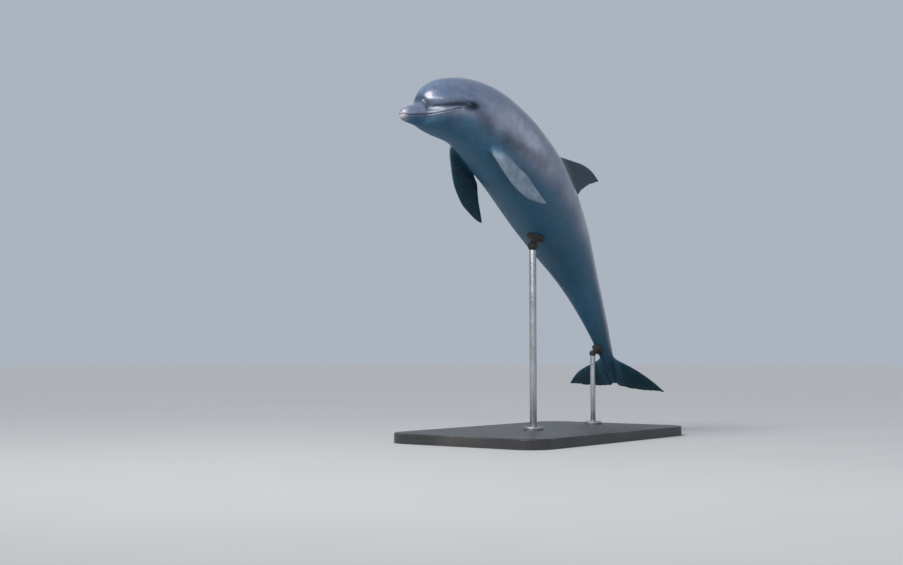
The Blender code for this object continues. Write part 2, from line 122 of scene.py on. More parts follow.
top_of = smooth_curve([(row[0], row[1]) for row in STATIONS])
bottom_of = smooth_curve([(row[0], -row[2]) for row in STATIONS])
width_of = smooth_curve([(row[0], row[3]) for row in STATIONS])
squareness_of = smooth_curve(SQUARENESS)
mouth_of = smooth_curve(MOUTH_LINE)
print("girth at its fullest:", round(float(top_of(0.396) - bottom_of(0.396)) * LENGTH, 3), "m tall")

# %% [markdown]
# ## The leap
# The pose is a short list of bends, each spread smoothly over a stretch of the spine, in
# degrees towards the belly, towards the left, and of twist. Walking along the spine in small
# steps and turning a little at each gives the place and the three axes of every station.
# Bending points with these axes keeps the skin's thickness and its markings where they belong.

# %% Bend a straight animal into its leap
BENDS = {
    "neck": (0.095, 0.235, 31.0, 9.5, 13.5),
    "shoulders": (0.175, 0.355, 5.0, 7.0, 5.5),
    "chest": (0.30, 0.50, 3.5, 0.5, 0.5),
    "loins": (0.44, 0.66, 7.0, -9.0, -8.0),
    "stock": (0.60, 0.82, 20.5, -10.5, -7.0),
    "tail": (0.76, 0.94, 2.0, 0.5, -4.0),
    "flukes": (0.90, 0.98, -10.0, 8.5, -2.0),
}
ANCHOR = 0.40
ANCHOR_PLACE = np.array([-0.20, -0.02, 1.32])
HEADING, CLIMB, ROLL = 10.0, 27.0, 26.5
SPINE_STEPS = 200


def ramp(x, start, end):
    """0 before start, 1 after end, and a smooth S between them."""
    t = np.clip((x - start) / (end - start), 0, 1)
    return t * t * (3 - 2 * t)


def rotation(vector):
    """The matrix that turns about the vector by its length in radians."""
    angle = np.linalg.norm(vector)
    if angle == 0:
        return np.eye(3)
    x, y, z = vector / angle
    cross = np.array([[0, -z, y], [z, 0, -x], [-y, x, 0]])
    return np.eye(3) + math.sin(angle) * cross + (1 - math.cos(angle)) * cross @ cross


def turned_so_far(s):
    total = np.zeros(3)
    for start, end, belly, side, twist in BENDS.values():
        total += ramp(s, start, end) * np.radians([twist, belly, side])
    return total


def walk_the_spine():
    turns = [turned_so_far(i / SPINE_STEPS) for i in range(SPINE_STEPS + 1)]
    anchor = round(ANCHOR * SPINE_STEPS)
    places, axes = [None] * (SPINE_STEPS + 1), [None] * (SPINE_STEPS + 1)
    turned, climbed, rolled = np.radians([HEADING, CLIMB, ROLL])
    axes[anchor] = (
        rotation(np.array([0, 0, turned]))
        @ rotation(np.array([0, climbed, 0]))
        @ rotation(np.array([rolled, 0, 0]))
    )
    places[anchor] = ANCHOR_PLACE
    for way, end in ((1, SPINE_STEPS), (-1, 0)):
        for i in range(anchor, end, way):
            turn = turns[i + way] - turns[i]
            axes[i + way] = axes[i] @ rotation(turn)
            half_way = axes[i] @ rotation(turn / 2)
            places[i + way] = places[i] + way * LENGTH / SPINE_STEPS * half_way[:, 0]
    return np.array(places), np.array(axes)


SPINE_PLACES, SPINE_AXES = walk_the_spine()


def frames_at(s):
    """Places and axes of the bent spine at an array of stations."""
    at = np.clip(s, 0, 0.99999) * SPINE_STEPS
    i = at.astype(int)
    t = at - i
    places = SPINE_PLACES[i] * (1 - t)[:, None] + SPINE_PLACES[i + 1] * t[:, None]
    axes = SPINE_AXES[i] * (1 - t)[:, None, None] + SPINE_AXES[i + 1] * t[:, None, None]
    return places, axes


def bend(points):
    """Where the leap puts points of the straight animal, all in metres."""
    s = points[:, 0] / LENGTH
    places, axes = frames_at(s)
    local = points.copy()
    local[:, 0] = (s - np.clip(s, 0, 1)) * LENGTH
    return places + np.einsum("nij,nj->ni", axes, local)


print("beak tip in the leap:", bend(np.zeros((1, 3)))[0].round(3))

# %% [markdown]
# ## A cage of rings
# The skin starts as a coarse cage, as a modeller would draw it: rings round the body, and
# lines that run from the beak to the tail. One of the lines follows the lips, and its
# neighbours lie close to it, so that the mouth can be pressed in cleanly later. A UV sphere
# already has rings, lines and two closed poles, so we take one and send each of its rings to
# a station of the body.

# %% Draw the cage
RING_PLACES = [
    0.0012, 0.004, 0.008, 0.013, 0.019, 0.025, 0.031, 0.0365, 0.0405, 0.0435, 0.047, 0.052,
    0.058, 0.065, 0.073, 0.081, 0.089, 0.097, 0.104, 0.110, 0.116, 0.1225, 0.1285, 0.135,
    0.143, 0.152, 0.162, 0.173, 0.185, 0.197, 0.209, 0.221, 0.233, 0.245, 0.258, 0.272,
    0.288, 0.306, 0.326, 0.346, 0.366, 0.386, 0.405, 0.424, 0.443, 0.462, 0.481, 0.500,
    0.519, 0.538, 0.557, 0.575, 0.593, 0.612, 0.634, 0.658, 0.682, 0.706, 0.730, 0.754,
    0.777, 0.799, 0.820, 0.840, 0.859, 0.877, 0.894, 0.910, 0.925, 0.940, 0.954, 0.967,
    0.979, 0.990, 0.9965,
]
# Lines from the side of the body up to the back, and down to the belly, in degrees.
LINES_UP = [0, 5, 10, 16, 24, 33, 43, 54, 66, 78, 90]
LINES_DOWN = [0, -5, -10, -17, -25, -34, -44, -55, -66, -78, -90]
LINES = (LINES_UP + [180 - a for a in LINES_UP[-2::-1]]
         + [-180 - a for a in LINES_DOWN[1:]] + LINES_DOWN[-2:0:-1])


def taper_of(s):
    """How much of its depth the body keeps: the end of the tail runs out flat."""
    return 1 - 0.45 * ramp(s, 0.950, 0.990)


def on_body(s, degrees):
    """A point of the straight body's surface; the lines near 0 degrees follow the lips."""
    up_or_down = 90 - abs(abs(degrees) - 90)
    power = 2 / squareness_of(s)
    lips = mouth_of(s)
    height = top_of(s) if lips > 0 else -bottom_of(s)
    lip_angle = math.copysign(math.degrees(math.asin((abs(lips) / height) ** (1 / power))), lips)
    lifted = math.copysign(up_or_down, degrees) + lip_angle * (1 - up_or_down / 90)
    across, up = math.cos(math.radians(lifted)), math.sin(math.radians(lifted))
    side = 1 if abs(degrees) < 90 else -1
    sweep = CREASE_SWEEP * math.exp(-((s - CREASE) / CREASE_REACH) ** 2)
    depth = top_of(s) if up > 0 else -bottom_of(s)
    y = side * width_of(s) * abs(across) ** power
    z = depth * math.copysign(abs(up) ** power, up) * taper_of(s)
    return LENGTH * Vector((s + sweep * across**2, y, z))


def deselect_all():
    bpy.ops.object.select_all(action="DESELECT")


def select_only(obj):
    deselect_all()
    bpy.context.view_layer.objects.active = obj
    obj.select_set(True)


deselect_all()
bpy.ops.mesh.primitive_uv_sphere_add(segments=len(LINES), ring_count=len(RING_PLACES) + 1)
skin = bpy.context.object
skin.name = skin.data.name = "skin"
for vertex in skin.data.vertices:
    row = round(math.acos(np.clip(vertex.co.z, -1, 1)) / math.pi * (len(RING_PLACES) + 1))
    line = round(math.atan2(vertex.co.y, vertex.co.x) / math.tau * len(LINES)) % len(LINES)
    if row == 0:
        vertex.co = LENGTH * Vector((0.0, 0, mouth_of(0) + 0.0005))
    elif row == len(RING_PLACES) + 1:
        vertex.co = LENGTH * Vector((0.9990, 0, 0))
    else:
        vertex.co = on_body(RING_PLACES[row - 1], LINES[line])
print("cage:", len(skin.data.vertices), "points,", len(skin.data.polygons), "faces")

# %% [markdown]
# ## Fins grown out of the body
# A dolphin's fins have no joint in the skin: back and fin are one surface. The dorsal fin and
# the flukes stand well away from the body, so they are extruded from its faces. That keeps one
# clean sheet of quads, and the subdivision then rounds the roots by itself. Each patch of
# faces is given a small chart first: u runs from the leading to the trailing edge, and v from
# one face of the fin to the other. Extruding copies the chart to the new points, so every
# ring knows where it belongs.

# %% Extrude a fin, ring by ring
FIN_EDGE = 0.0006           # half the thickness of a fin's trailing edge, in metres
EDGE_ROUNDING = 0.06        # how far the two faces draw back from the edges, of the chord


def foil(u):
    """Half thickness of a wing section, from its leading edge at 0 to its trailing edge at 1."""
    return 5 * (0.2969 * np.sqrt(u) - 0.126 * u - 0.3516 * u**2 + 0.2843 * u**3 - 0.1036 * u**4)


def section(u, v, thickness):
    """Chord fraction and sideways offset of chart point (u, v), in the units of thickness."""
    u = np.clip(u + (0.5 - u) * EDGE_ROUNDING * abs(v), 0, 1)
    return u, v * max(thickness * foil(u), FIN_EDGE)


def select_where(obj, kind, is_wanted):
    """Opens a mesh for editing with only the wanted points ("VERT") or faces ("FACE") selected."""
    bpy.context.view_layer.objects.active = obj
    bpy.ops.object.mode_set(mode="EDIT")
    bpy.ops.mesh.select_mode(type=kind)
    bpy.ops.mesh.select_all(action="DESELECT")
    form = bmesh.from_edit_mesh(obj.data)
    for item in form.verts if kind == "VERT" else form.faces:
        if is_wanted(item):
            item.select_set(True)
    form.select_flush_mode()
    bmesh.update_edit_mesh(obj.data)
    return form


def grow_fin(is_root, chart_of, rings, locate):
    """Extrudes the faces whose centres pass is_root through the rings, placed by locate."""
    form = select_where(skin, "FACE", lambda face: is_root(face.calc_center_median()))
    layers = form.verts.layers.float_vector
    chart = layers.get("chart") or layers.new("chart")
    for vertex in form.verts:
        if vertex.select:
            vertex[chart] = (*chart_of(vertex.co), 0)
    bmesh.update_edit_mesh(skin.data)
    for ring in rings:
        bpy.ops.mesh.extrude_region_move()
        form = bmesh.from_edit_mesh(skin.data)
        chart = form.verts.layers.float_vector["chart"]
        for vertex in form.verts:
            if vertex.select:
                vertex.co = locate(ring, *vertex[chart][:2])
        bmesh.update_edit_mesh(skin.data)
    bpy.ops.object.mode_set(mode="OBJECT")


def between(start, end, t):
    return start + (end - start) * t


widths = np.linspace(0, 1, 101)
print("a fin is thickest at", widths[np.argmax(foil(widths))].round(2), "of its width")

# %% [markdown]
# ## Dorsal fin
# The dorsal fin is a thin sickle of tough tissue, swept back, with a concave rear edge. Its
# outline is two curves of station against height. The rings start along the sloping back and
# end level near the tip, crowding together where the outline turns most.

# %% Grow the dorsal fin
DORSAL_LEADING = smooth_curve([(0.060, 0.395), (0.085, 0.424), (0.100, 0.448), (0.120, 0.484),
                               (0.147, 0.531), (0.163, 0.572), (0.1685, 0.600)])
DORSAL_TRAILING = smooth_curve([(0.060, 0.588), (0.078, 0.5760), (0.094, 0.5708),
                                (0.114, 0.5715), (0.141, 0.582), (0.158, 0.5925),
                                (0.1685, 0.600)])
DORSAL_THICKNESS = smooth_curve([(0.060, 0.0240), (0.085, 0.0130), (0.110, 0.0092),
                                 (0.150, 0.0055), (0.1685, 0.0020)])
DORSAL_ROOT = (0.405, 0.593)
DORSAL_TIP, DORSAL_FILLET = 0.1690, 0.006
DORSAL_STRIP = math.cos(math.radians(79))   # half width of the root, of the body's half width
FILLET_REACH = 0.05         # how much of a fin's height its fillet takes
DORSAL_RINGS = [0.03, 0.10, 0.22, 0.35, 0.48, 0.60, 0.71, 0.80, 0.875, 0.93, 0.965, 0.99]


def on_dorsal(ring, u, v):
    root = top_of(between(*DORSAL_ROOT, u))
    z = between(root, DORSAL_TIP, ring)
    fillet = DORSAL_FILLET * math.exp(-ring / FILLET_REACH)
    u, y = section(u, v, (DORSAL_THICKNESS(z) + fillet) * LENGTH)
    s = between(DORSAL_LEADING(z) - fillet, DORSAL_TRAILING(z) + fillet, u)
    return Vector((s * LENGTH, y, z * LENGTH))


grow_fin(
    lambda c: c.z > 0 and abs(c.y) < 0.05 and DORSAL_ROOT[0] < c.x / LENGTH < DORSAL_ROOT[1]
    and abs(c.y) < LENGTH * width_of(c.x / LENGTH) * DORSAL_STRIP,
    lambda co: (
        (co.x / LENGTH - DORSAL_ROOT[0]) / (DORSAL_ROOT[1] - DORSAL_ROOT[0]),
        0 if abs(co.y) < 1e-4 else math.copysign(1, co.y),
    ),
    DORSAL_RINGS,
    on_dorsal,
)
print("with the dorsal fin:", len(skin.data.polygons), "faces")

# %% [markdown]
# ## Flukes
# The flukes lie flat, like an aeroplane's wing, and meet at a small notch behind the tail
# stock. Each half is grown from a strip of faces on the side of the tail.

# %% Grow the flukes
FLUKE_LEADING = smooth_curve([(0.000, 0.912), (0.013, 0.926), (0.040, 0.941), (0.073, 0.961),
                              (0.102, 0.988), (0.120, 1.012)])
FLUKE_TRAILING = smooth_curve([(0.000, 0.999), (0.004, 1.003), (0.012, 1.0075), (0.040, 1.0110),
                               (0.079, 1.0125), (0.105, 1.0110), (0.120, 1.0130)])
FLUKE_THICKNESS = smooth_curve([(0.000, 0.0150), (0.015, 0.0110), (0.050, 0.0075),
                                (0.100, 0.0040), (0.120, 0.0020)])
FLUKE_ROOT = (0.910, 0.9965)
FLUKE_TIP, FLUKE_FILLET = 0.1205, 0.004
FLUKE_RINGS = [0.02, 0.08, 0.18, 0.30, 0.43, 0.56, 0.68, 0.78, 0.86, 0.92, 0.96, 0.985]
FLUKE_HALF_STRIP = 10       # degrees above and below the side line


def on_fluke(side):
    def locate(ring, u, v):
        y = between(width_of(between(*FLUKE_ROOT, u)), FLUKE_TIP, ring)
        fillet = FLUKE_FILLET * math.exp(-ring / FILLET_REACH)
        u, z = section(u, v, (FLUKE_THICKNESS(y) + fillet) * LENGTH)
        s = between(FLUKE_LEADING(y) - fillet, FLUKE_TRAILING(y), u)
        return Vector((s * LENGTH, side * y * LENGTH, z))

    return locate


def height_angle(co):
    """The angle of the cage line that a point of the straight tail lies on, in degrees."""
    s = co.x / LENGTH
    power = 2 / squareness_of(s)
    depth = (top_of(s) if co.z > 0 else -bottom_of(s)) * taper_of(s)
    up = min((abs(co.z) / LENGTH / depth) ** (1 / power), 1)
    return math.copysign(math.degrees(math.asin(up)), co.z)


for side in (-1, 1):
    grow_fin(
        lambda c, side=side: c.y * side > 0
        and FLUKE_ROOT[0] < c.x / LENGTH < FLUKE_ROOT[1]
        and abs(height_angle(c)) < FLUKE_HALF_STRIP,
        lambda co: (
            (co.x / LENGTH - FLUKE_ROOT[0]) / (FLUKE_ROOT[1] - FLUKE_ROOT[0]),
            round(height_angle(co) / 5) / 2,
        ),
        FLUKE_RINGS,
        on_fluke(side),
    )
print("with the flukes:", len(skin.data.polygons), "faces")

# %% [markdown]
# ## Round the cage
# A subdivision surface turns the cage into a smooth skin. It is applied, because the next
# steps press details into its points. The head, the back and the roots of the flukes are then
# evened out. The mouth and the eyes need finer points than the flanks; only the faces there are
# subdivided further, later on, once the flippers are joined.

# %% Subdivide
rounding = skin.modifiers.new("round", "SUBSURF")
rounding.levels = rounding.render_levels = 2
bpy.ops.object.modifier_apply(modifier=rounding.name)


def smooth_where(is_wanted, times):
    """Evens out the chosen points of the skin; they are asked for as fractions of its length."""
    select_where(skin, "VERT", lambda vertex: is_wanted(vertex.co / LENGTH))
    bpy.ops.mesh.vertices_smooth(factor=0.5, repeat=times)
    bpy.ops.object.mode_set(mode="OBJECT")


HEAD_SMOOTHING, FLUKE_ROOT_SMOOTHING = 8, 26


def on_head_and_back(c):
    return 0.030 < c.x < 0.40 and c.z > mouth_of(c.x) + 0.006


def by_fluke_root(c):
    return c.x > 0.905 and abs(c.y) < 0.026 and c.x < FLUKE_TRAILING(abs(c.y)) - 0.007


smooth_where(on_head_and_back, HEAD_SMOOTHING)
smooth_where(by_fluke_root, FLUKE_ROOT_SMOOTHING)
print("rounded skin:", len(skin.data.vertices), "points")

# %% [markdown]
# ## Flippers
# A flipper is the animal's arm: a stiff blade that leaves the body at so shallow an angle
# that its root is much longer than it is thick. Faces extruded from the flank would fold over
# there. So each flipper is a closed blade of its own, shaped from a UV sphere, and a Boolean
# joins it to the body. Its first rings sink into the flank, for a shoulder without a step.

# %% Make the flippers
FLIPPER_LEADING = smooth_curve([(-0.40, 0.02), (-0.14, -0.11), (0.00, -0.165), (0.20, -0.205),
                                (0.40, -0.225), (0.64, -0.195), (0.83, -0.115),
                                (0.95, -0.045), (1.00, 0.000)])
FLIPPER_TRAILING = smooth_curve([(-0.40, 0.05), (-0.14, 0.08), (0.00, 0.12), (0.20, 0.135),
                                 (0.42, 0.120), (0.56, 0.070), (0.75, 0.034), (0.92, 0.020),
                                 (1.00, 0.008)])
FLIPPER_THICKNESS = smooth_curve([(-0.40, 0.05), (-0.14, 0.085), (0.00, 0.092), (0.30, 0.066),
                                  (0.70, 0.042), (1.00, 0.012)])
FLIPPER_SINK = smooth_curve([(-0.40, 0.17), (-0.14, 0.045), (0.02, 0.0), (1.0, 0.0)])
# Side, root (s, y, z), root to tip (tailwards, outwards, up), and tilt of the outer face.
FLIPPERS = {
    "flipper_left": (-1, (0.225, 0.0625, -0.036), (0.141, 0.033, -0.024), 15),
    "flipper_right": (1, (0.2345, 0.055, -0.036), (0.144, -0.016, -0.095), 12),
}
FLIPPER_RINGS, FLIPPER_SIDES = 44, 32
FLIPPER_START = -0.38       # how far the blade starts inside the flank, of its length
FLIPPER_CROWDING = 1.4      # above 1, the rings lie closer together towards the tip


def make_flipper(name, side, root, tip, tilt):
    start = LENGTH * np.array([root[0], side * root[1], root[2]])
    along = np.array([tip[0], side * tip[1], tip[2]])
    length = float(np.linalg.norm(along))
    along = along / length
    face = np.array([0, side * math.cos(math.radians(tilt)), math.sin(math.radians(tilt))])
    face = face - along * (face @ along)
    face = face / np.linalg.norm(face)
    chord = np.cross(along, face) * side
    deselect_all()
    bpy.ops.mesh.primitive_uv_sphere_add(segments=FLIPPER_SIDES, ring_count=FLIPPER_RINGS + 1)
    flipper = bpy.context.object
    flipper.name = name
    for vertex in flipper.data.vertices:
        row = math.acos(np.clip(vertex.co.z, -1, 1)) / math.pi * (FLIPPER_RINGS + 1)
        reached = 1 - (1 - row / (FLIPPER_RINGS + 1)) ** FLIPPER_CROWDING
        t = between(FLIPPER_START, 1.0, reached)
        turn = math.atan2(vertex.co.y, vertex.co.x)
        at_pole = round(row) in (0, FLIPPER_RINGS + 1)
        u = 0.5 if at_pole else (1 - math.cos(turn)) / 2
        thick = max(FLIPPER_THICKNESS(t) * foil(u), FIN_EDGE / LENGTH / length)
        thick = 0 if at_pole or abs(math.sin(turn)) < 1e-6 else math.copysign(thick, math.sin(turn))
        chordwise = between(FLIPPER_LEADING(t), FLIPPER_TRAILING(t), u)
        offset = along * t + chord * chordwise + face * (thick - FLIPPER_SINK(t))
        vertex.co = start + LENGTH * length * offset
    form = bmesh.new()
    form.from_mesh(flipper.data)
    if form.calc_volume(signed=True) < 0:
        bmesh.ops.reverse_faces(form, faces=form.faces)
    form.to_mesh(flipper.data)
    form.free()
    return flipper


def points_of(obj):
    points = np.empty(len(obj.data.vertices) * 3)
    obj.data.vertices.foreach_get("co", points)
    return points.reshape(-1, 3)


def apply_boolean(obj, operation, other):
    """Joins another object to a mesh or cuts it out, and removes that object."""
    select_only(obj)
    boolean = obj.modifiers.new("boolean", "BOOLEAN")
    boolean.operation, boolean.solver, boolean.object = operation, "EXACT", other
    bpy.ops.object.modifier_apply(modifier=boolean.name)
    bpy.data.objects.remove(other)


def join_to_skin(piece):
    """Joins a closed piece to the skin, and returns the points of the seam."""
    known = {tuple(p) for obj in (skin, piece) for p in points_of(obj).round(5).tolist()}
    apply_boolean(skin, "UNION", piece)
    return [p for p in points_of(skin).round(5).tolist() if tuple(p) not in known]


seams = []
for name, flipper_sizes in FLIPPERS.items():
    seams += join_to_skin(make_flipper(name, *flipper_sizes))
print("with the flippers:", len(skin.data.polygons), "faces;", len(seams), "points on the seams")

# %% [markdown]
# The Boolean leaves a sharp line where flipper and flank meet. On the animal that line is a
# soft web of skin. The faces round the seam are cut finer, and its points are relaxed several
# times, in a band that narrows, so that the web has no edge of its own.

# %% Soften the roots of the flippers
SEAM_CORE, SEAM_MERGE, SEAM_REACH = 0.0015, 0.0016, 0.030   # distances in metres
SEAM_SPLITS = [(0.026, 0.0075), (0.022, 0.0060)]            # reach, longest edge left whole
SEAM_RELAXING = [(0.030, 4), (0.024, 6), (0.017, 8), (0.011, 6)]    # reach, times

seam_tree = KDTree(len(seams))
for number, point in enumerate(seams):
    seam_tree.insert(point, number)
seam_tree.balance()


def select_near_seam(reach):
    """Selects the points of the skin nearer to the seam than reach, in edit mode."""
    select_where(skin, "VERT", lambda vertex: seam_tree.find(vertex.co)[2] < reach)


def split_long_edges(reach, longest):
    form = bmesh.from_edit_mesh(skin.data)
    long_edges = [edge for edge in form.edges if edge.calc_length() > longest
                  and seam_tree.find((edge.verts[0].co + edge.verts[1].co) / 2)[2] < reach]
    bmesh.ops.subdivide_edges(form, edges=long_edges, cuts=1)
    bmesh.ops.triangulate(form, faces=[face for face in form.faces if len(face.verts) > 4])
    bmesh.update_edit_mesh(skin.data)


select_near_seam(SEAM_CORE)
bpy.ops.mesh.remove_doubles(threshold=SEAM_MERGE)
select_near_seam(SEAM_REACH)
bpy.ops.mesh.quads_convert_to_tris(quad_method="BEAUTY", ngon_method="BEAUTY")
for reach, longest in SEAM_SPLITS:
    split_long_edges(reach, longest)
for reach, times in SEAM_RELAXING:
    select_near_seam(reach)
    bpy.ops.mesh.vertices_smooth(factor=0.5, repeat=times)
bpy.ops.object.mode_set(mode="OBJECT")
print("seams softened:", len(skin.data.polygons), "faces")

# %% [markdown]
# ## Finer points for the details
# The mouth, the eyes and a few other small places need finer points than the flanks. So we
# subdivide only the faces there, some of them twice. A point left with only two edges would
# make its two faces fold onto each other as triangles, so such points are dissolved.

# %% Refine the places that get details
EYE_STATION, EYE_HEIGHT, EYE_RADIUS, EYE_PROUD = 0.1255, 0.0100, 0.0135, 0.0035
BLOWHOLE = 0.137
NAVEL, SLIT_START, SLIT_END = 0.495, 0.640, 0.700


def eye_surface():
    """The place of the eye on the right cheek of the straight animal."""
    up = EYE_HEIGHT / top_of(EYE_STATION)
    power = 2 / squareness_of(EYE_STATION)
    y = width_of(EYE_STATION) * (1 - up**2) ** (power / 2)
    return LENGTH * np.array([EYE_STATION, y, top_of(EYE_STATION) * up**power])


EYE_PLACE = eye_surface()


def refine(is_wanted):
    """Splits each chosen face of the skin into four."""
    select_where(skin, "FACE", lambda face: is_wanted(face.calc_center_median()))
    bpy.ops.mesh.subdivide(number_cuts=1)
    bpy.ops.object.mode_set(mode="OBJECT")


def near_lips(c):
    s = c.x / LENGTH
    return s < 0.120 and abs(c.z / LENGTH - mouth_of(s)) < 0.0065


def near_eye(c, reach):
    return math.hypot(c.x - EYE_PLACE[0], c.z - EYE_PLACE[2]) < reach


def near_blowhole(c):
    return c.z > 0 and math.hypot(c.x - BLOWHOLE * LENGTH, c.y) < 0.034


def near_belly_marks(c):
    s = c.x / LENGTH
    return c.z < 0 and abs(c.y) < 0.022 and (abs(s - NAVEL) < 0.012 or 0.630 < s < 0.728)


refine(near_lips)
refine(near_blowhole)
refine(near_blowhole)
refine(near_belly_marks)
refine(lambda c: near_eye(c, 0.042))
refine(lambda c: near_eye(c, 0.024))
form = bmesh.new()
form.from_mesh(skin.data)
passed_by = [vertex for vertex in form.verts if len(vertex.link_edges) == 2]
bmesh.ops.dissolve_verts(form, verts=passed_by)
form.to_mesh(skin.data)
form.free()
select_only(skin)
bpy.ops.object.shade_smooth()
print(len(passed_by), "points with two edges dissolved")
print("smooth skin:", len(skin.data.vertices), "points,", len(skin.data.polygons), "faces")

# %% [markdown]
# ## Mouth, eyes and folds
# The details are pressed into the skin as a sculptor would do it, by moving points along
# their normals. A detail is a depth and a mask, which fades with the distance from the
# detail's own line or centre. Doing it on the straight animal keeps those distances simple.

# %% Measure the skin
points = points_of(skin)
rest = points.copy()
normals = np.empty(points.size)
skin.data.vertices.foreach_get("normal", normals)
normals = normals.reshape(-1, 3)
x, y, z = points.T
s = x / LENGTH
push = np.zeros(len(points))


def press(depth, mask):
    """Pushes the skin in by a depth in metres where the mask is 1; below 0 it lifts the skin."""
    push[:] -= depth * mask


def hump(distance, width):
    """1 where the distance is 0, fading to nothing within about twice the width."""
    return np.exp(-((distance / width) ** 2))


def along(start, full, last, end):
    """1 between the stations full and last, fading to 0 at start and at end."""
    return ramp(s, start, full) * (1 - ramp(s, last, end))


def outside(points):
    """How far points of the straight animal are outside its trunk, in metres, roughly."""
    s, y, z = (points / LENGTH).T
    power = squareness_of(s)
    depth = np.where(z > 0, top_of(s), -bottom_of(s))
    fill = ((np.abs(y) / width_of(s)) ** power + (np.abs(z) / depth) ** power) ** (1 / power)
    return (1 - 1 / np.maximum(fill, 1e-6)) * np.hypot(y, z) * LENGTH


away = outside(points)
across = np.clip(np.abs(y) / LENGTH / width_of(s), 0, 1)
height = np.clip(z / LENGTH / np.where(z > 0, top_of(s), -bottom_of(s)), -1, 1)
print("farthest from the trunk:", round(float(away.max()), 3), "m, at the tip of a fin")

# %% [markdown]
# The mouth is a groove along the line of the lips, with a low fold on either side, and it
# ends in a dimple. The crease in front of the melon starts above the lips. From the crease a
# shallow valley runs back to the eye, under the swelling of the brow.

# %% Press in the mouth, the crease and the valley
MOUTH_DEPTH, GAPE_FRONT, GAPE_BACK = 0.0024, 0.0014, 0.0024
# Height above the line of the mouth, width and rise of each lip.
LIPS = {"lower": (-0.0065, 0.0042, 0.0014), "upper": (0.0060, 0.0038, 0.0009)}
DIMPLE_DEPTH, DIMPLE_REACH = 0.0034, 0.0065
CREASE_DEPTH, CREASE_WIDTH = 0.0030, 0.0065
VALLEY_START, VALLEY_HEIGHT, VALLEY_DEPTH, VALLEY_WIDTH = 0.050 * LENGTH, 0.024, 0.0052, 0.0105
BROW_HEIGHT, BROW_WIDTH, BROW_RISE = 0.030, 0.018, 0.0042

above_lips = z - mouth_of(s) * LENGTH
lips = 1 - ramp(s, MOUTH_CORNER - 0.008, MOUTH_CORNER - 0.002)
gape = between(GAPE_FRONT, GAPE_BACK, ramp(s, 0.06, 0.10))
press(MOUTH_DEPTH, hump(above_lips, gape) * lips)
for lip_height, lip_width, rise in LIPS.values():
    press(-rise, hump(above_lips - lip_height, lip_width) * lips * ramp(s, 0.000, 0.012))
from_corner = np.hypot(x - (MOUTH_CORNER - 0.004) * LENGTH, above_lips)
press(DIMPLE_DEPTH, hump(from_corner, DIMPLE_REACH))
before_eyes = s < 0.09
crease = x - (CREASE + CREASE_SWEEP * across**2) * LENGTH
press(CREASE_DEPTH, hump(crease, CREASE_WIDTH) * ramp(above_lips, 0.008, 0.032) * before_eyes)
valley_way = np.clip((x - VALLEY_START) / (EYE_PLACE[0] - VALLEY_START), 0, 1)
valley = z - between(VALLEY_HEIGHT, EYE_PLACE[2], valley_way)
valley_fade = along(0.043, 0.058, 0.108, 0.122)
press(VALLEY_DEPTH, hump(valley, VALLEY_WIDTH) * valley_fade)
press(-BROW_RISE, hump(valley - BROW_HEIGHT, BROW_WIDTH) * valley_fade)
print("mouth: deepest", round(-1000 * float(push.min()), 1), "mm")

# %% [markdown]
# The opening of an eye is where two equal circles overlap, so the distance from the nearer
# circle tells where the lids are, and how far away a fold is. Inside it the skin is pushed in
# behind the eyeball; round it the lids swell a little, with a fold above and one below.

# %% Open the eyes
LID_LENGTH, LID_HEIGHT = 0.0140, 0.0066     # half the opening between the lids
LID_BOW = (LID_LENGTH**2 - LID_HEIGHT**2) / (2 * LID_HEIGHT)
LID_EDGE = 0.0012
EYE_SLANT, EYE_FIELD = 0.12, 0.060
ORBIT_RISE, ORBIT_REACH = 0.0036, 0.026
OPENING_DEPTH = 0.0065
# Distance from the opening, width and depth.
LID_RIM = (0.0028, 0.0022, -0.0014)
FOLD_ABOVE, FOLD_BELOW = (0.0080, 0.0022, 0.0010), (0.0070, 0.0020, 0.0009)

eye_x, eye_z = x - EYE_PLACE[0], z - EYE_PLACE[2]
eye_x, eye_z = eye_x + EYE_SLANT * eye_z, eye_z - EYE_SLANT * eye_x
from_eye = np.hypot(eye_x, eye_z)
by_eye = from_eye < EYE_FIELD
lid = np.hypot(eye_x, np.abs(eye_z) + LID_BOW) - LID_BOW - LID_HEIGHT
opening = 1 - ramp(lid, -LID_EDGE, LID_EDGE)
press(-ORBIT_RISE, hump(from_eye, ORBIT_REACH) * by_eye)
press(OPENING_DEPTH, opening * by_eye)
for (distance, fold_width, depth), side in (
    (LID_RIM, 1), (FOLD_ABOVE, ramp(eye_z, -0.004, 0.004)), (FOLD_BELOW, ramp(-eye_z, -0.002, 0.006))
):
    press(depth, hump(lid - distance, fold_width) * by_eye * side)
print("eyes opened:", round(2000 * LID_LENGTH), "x", round(2000 * LID_HEIGHT), "mm")

# %% [markdown]
# The blowhole is a closed slot, bowed like a new moon. The throat wrinkles where the head
# tips up, and under the belly are the navel and the slits. The stock has a soft hollow along
# each side, between its muscles. Last, a slow noise keeps the trunk from being too perfect.

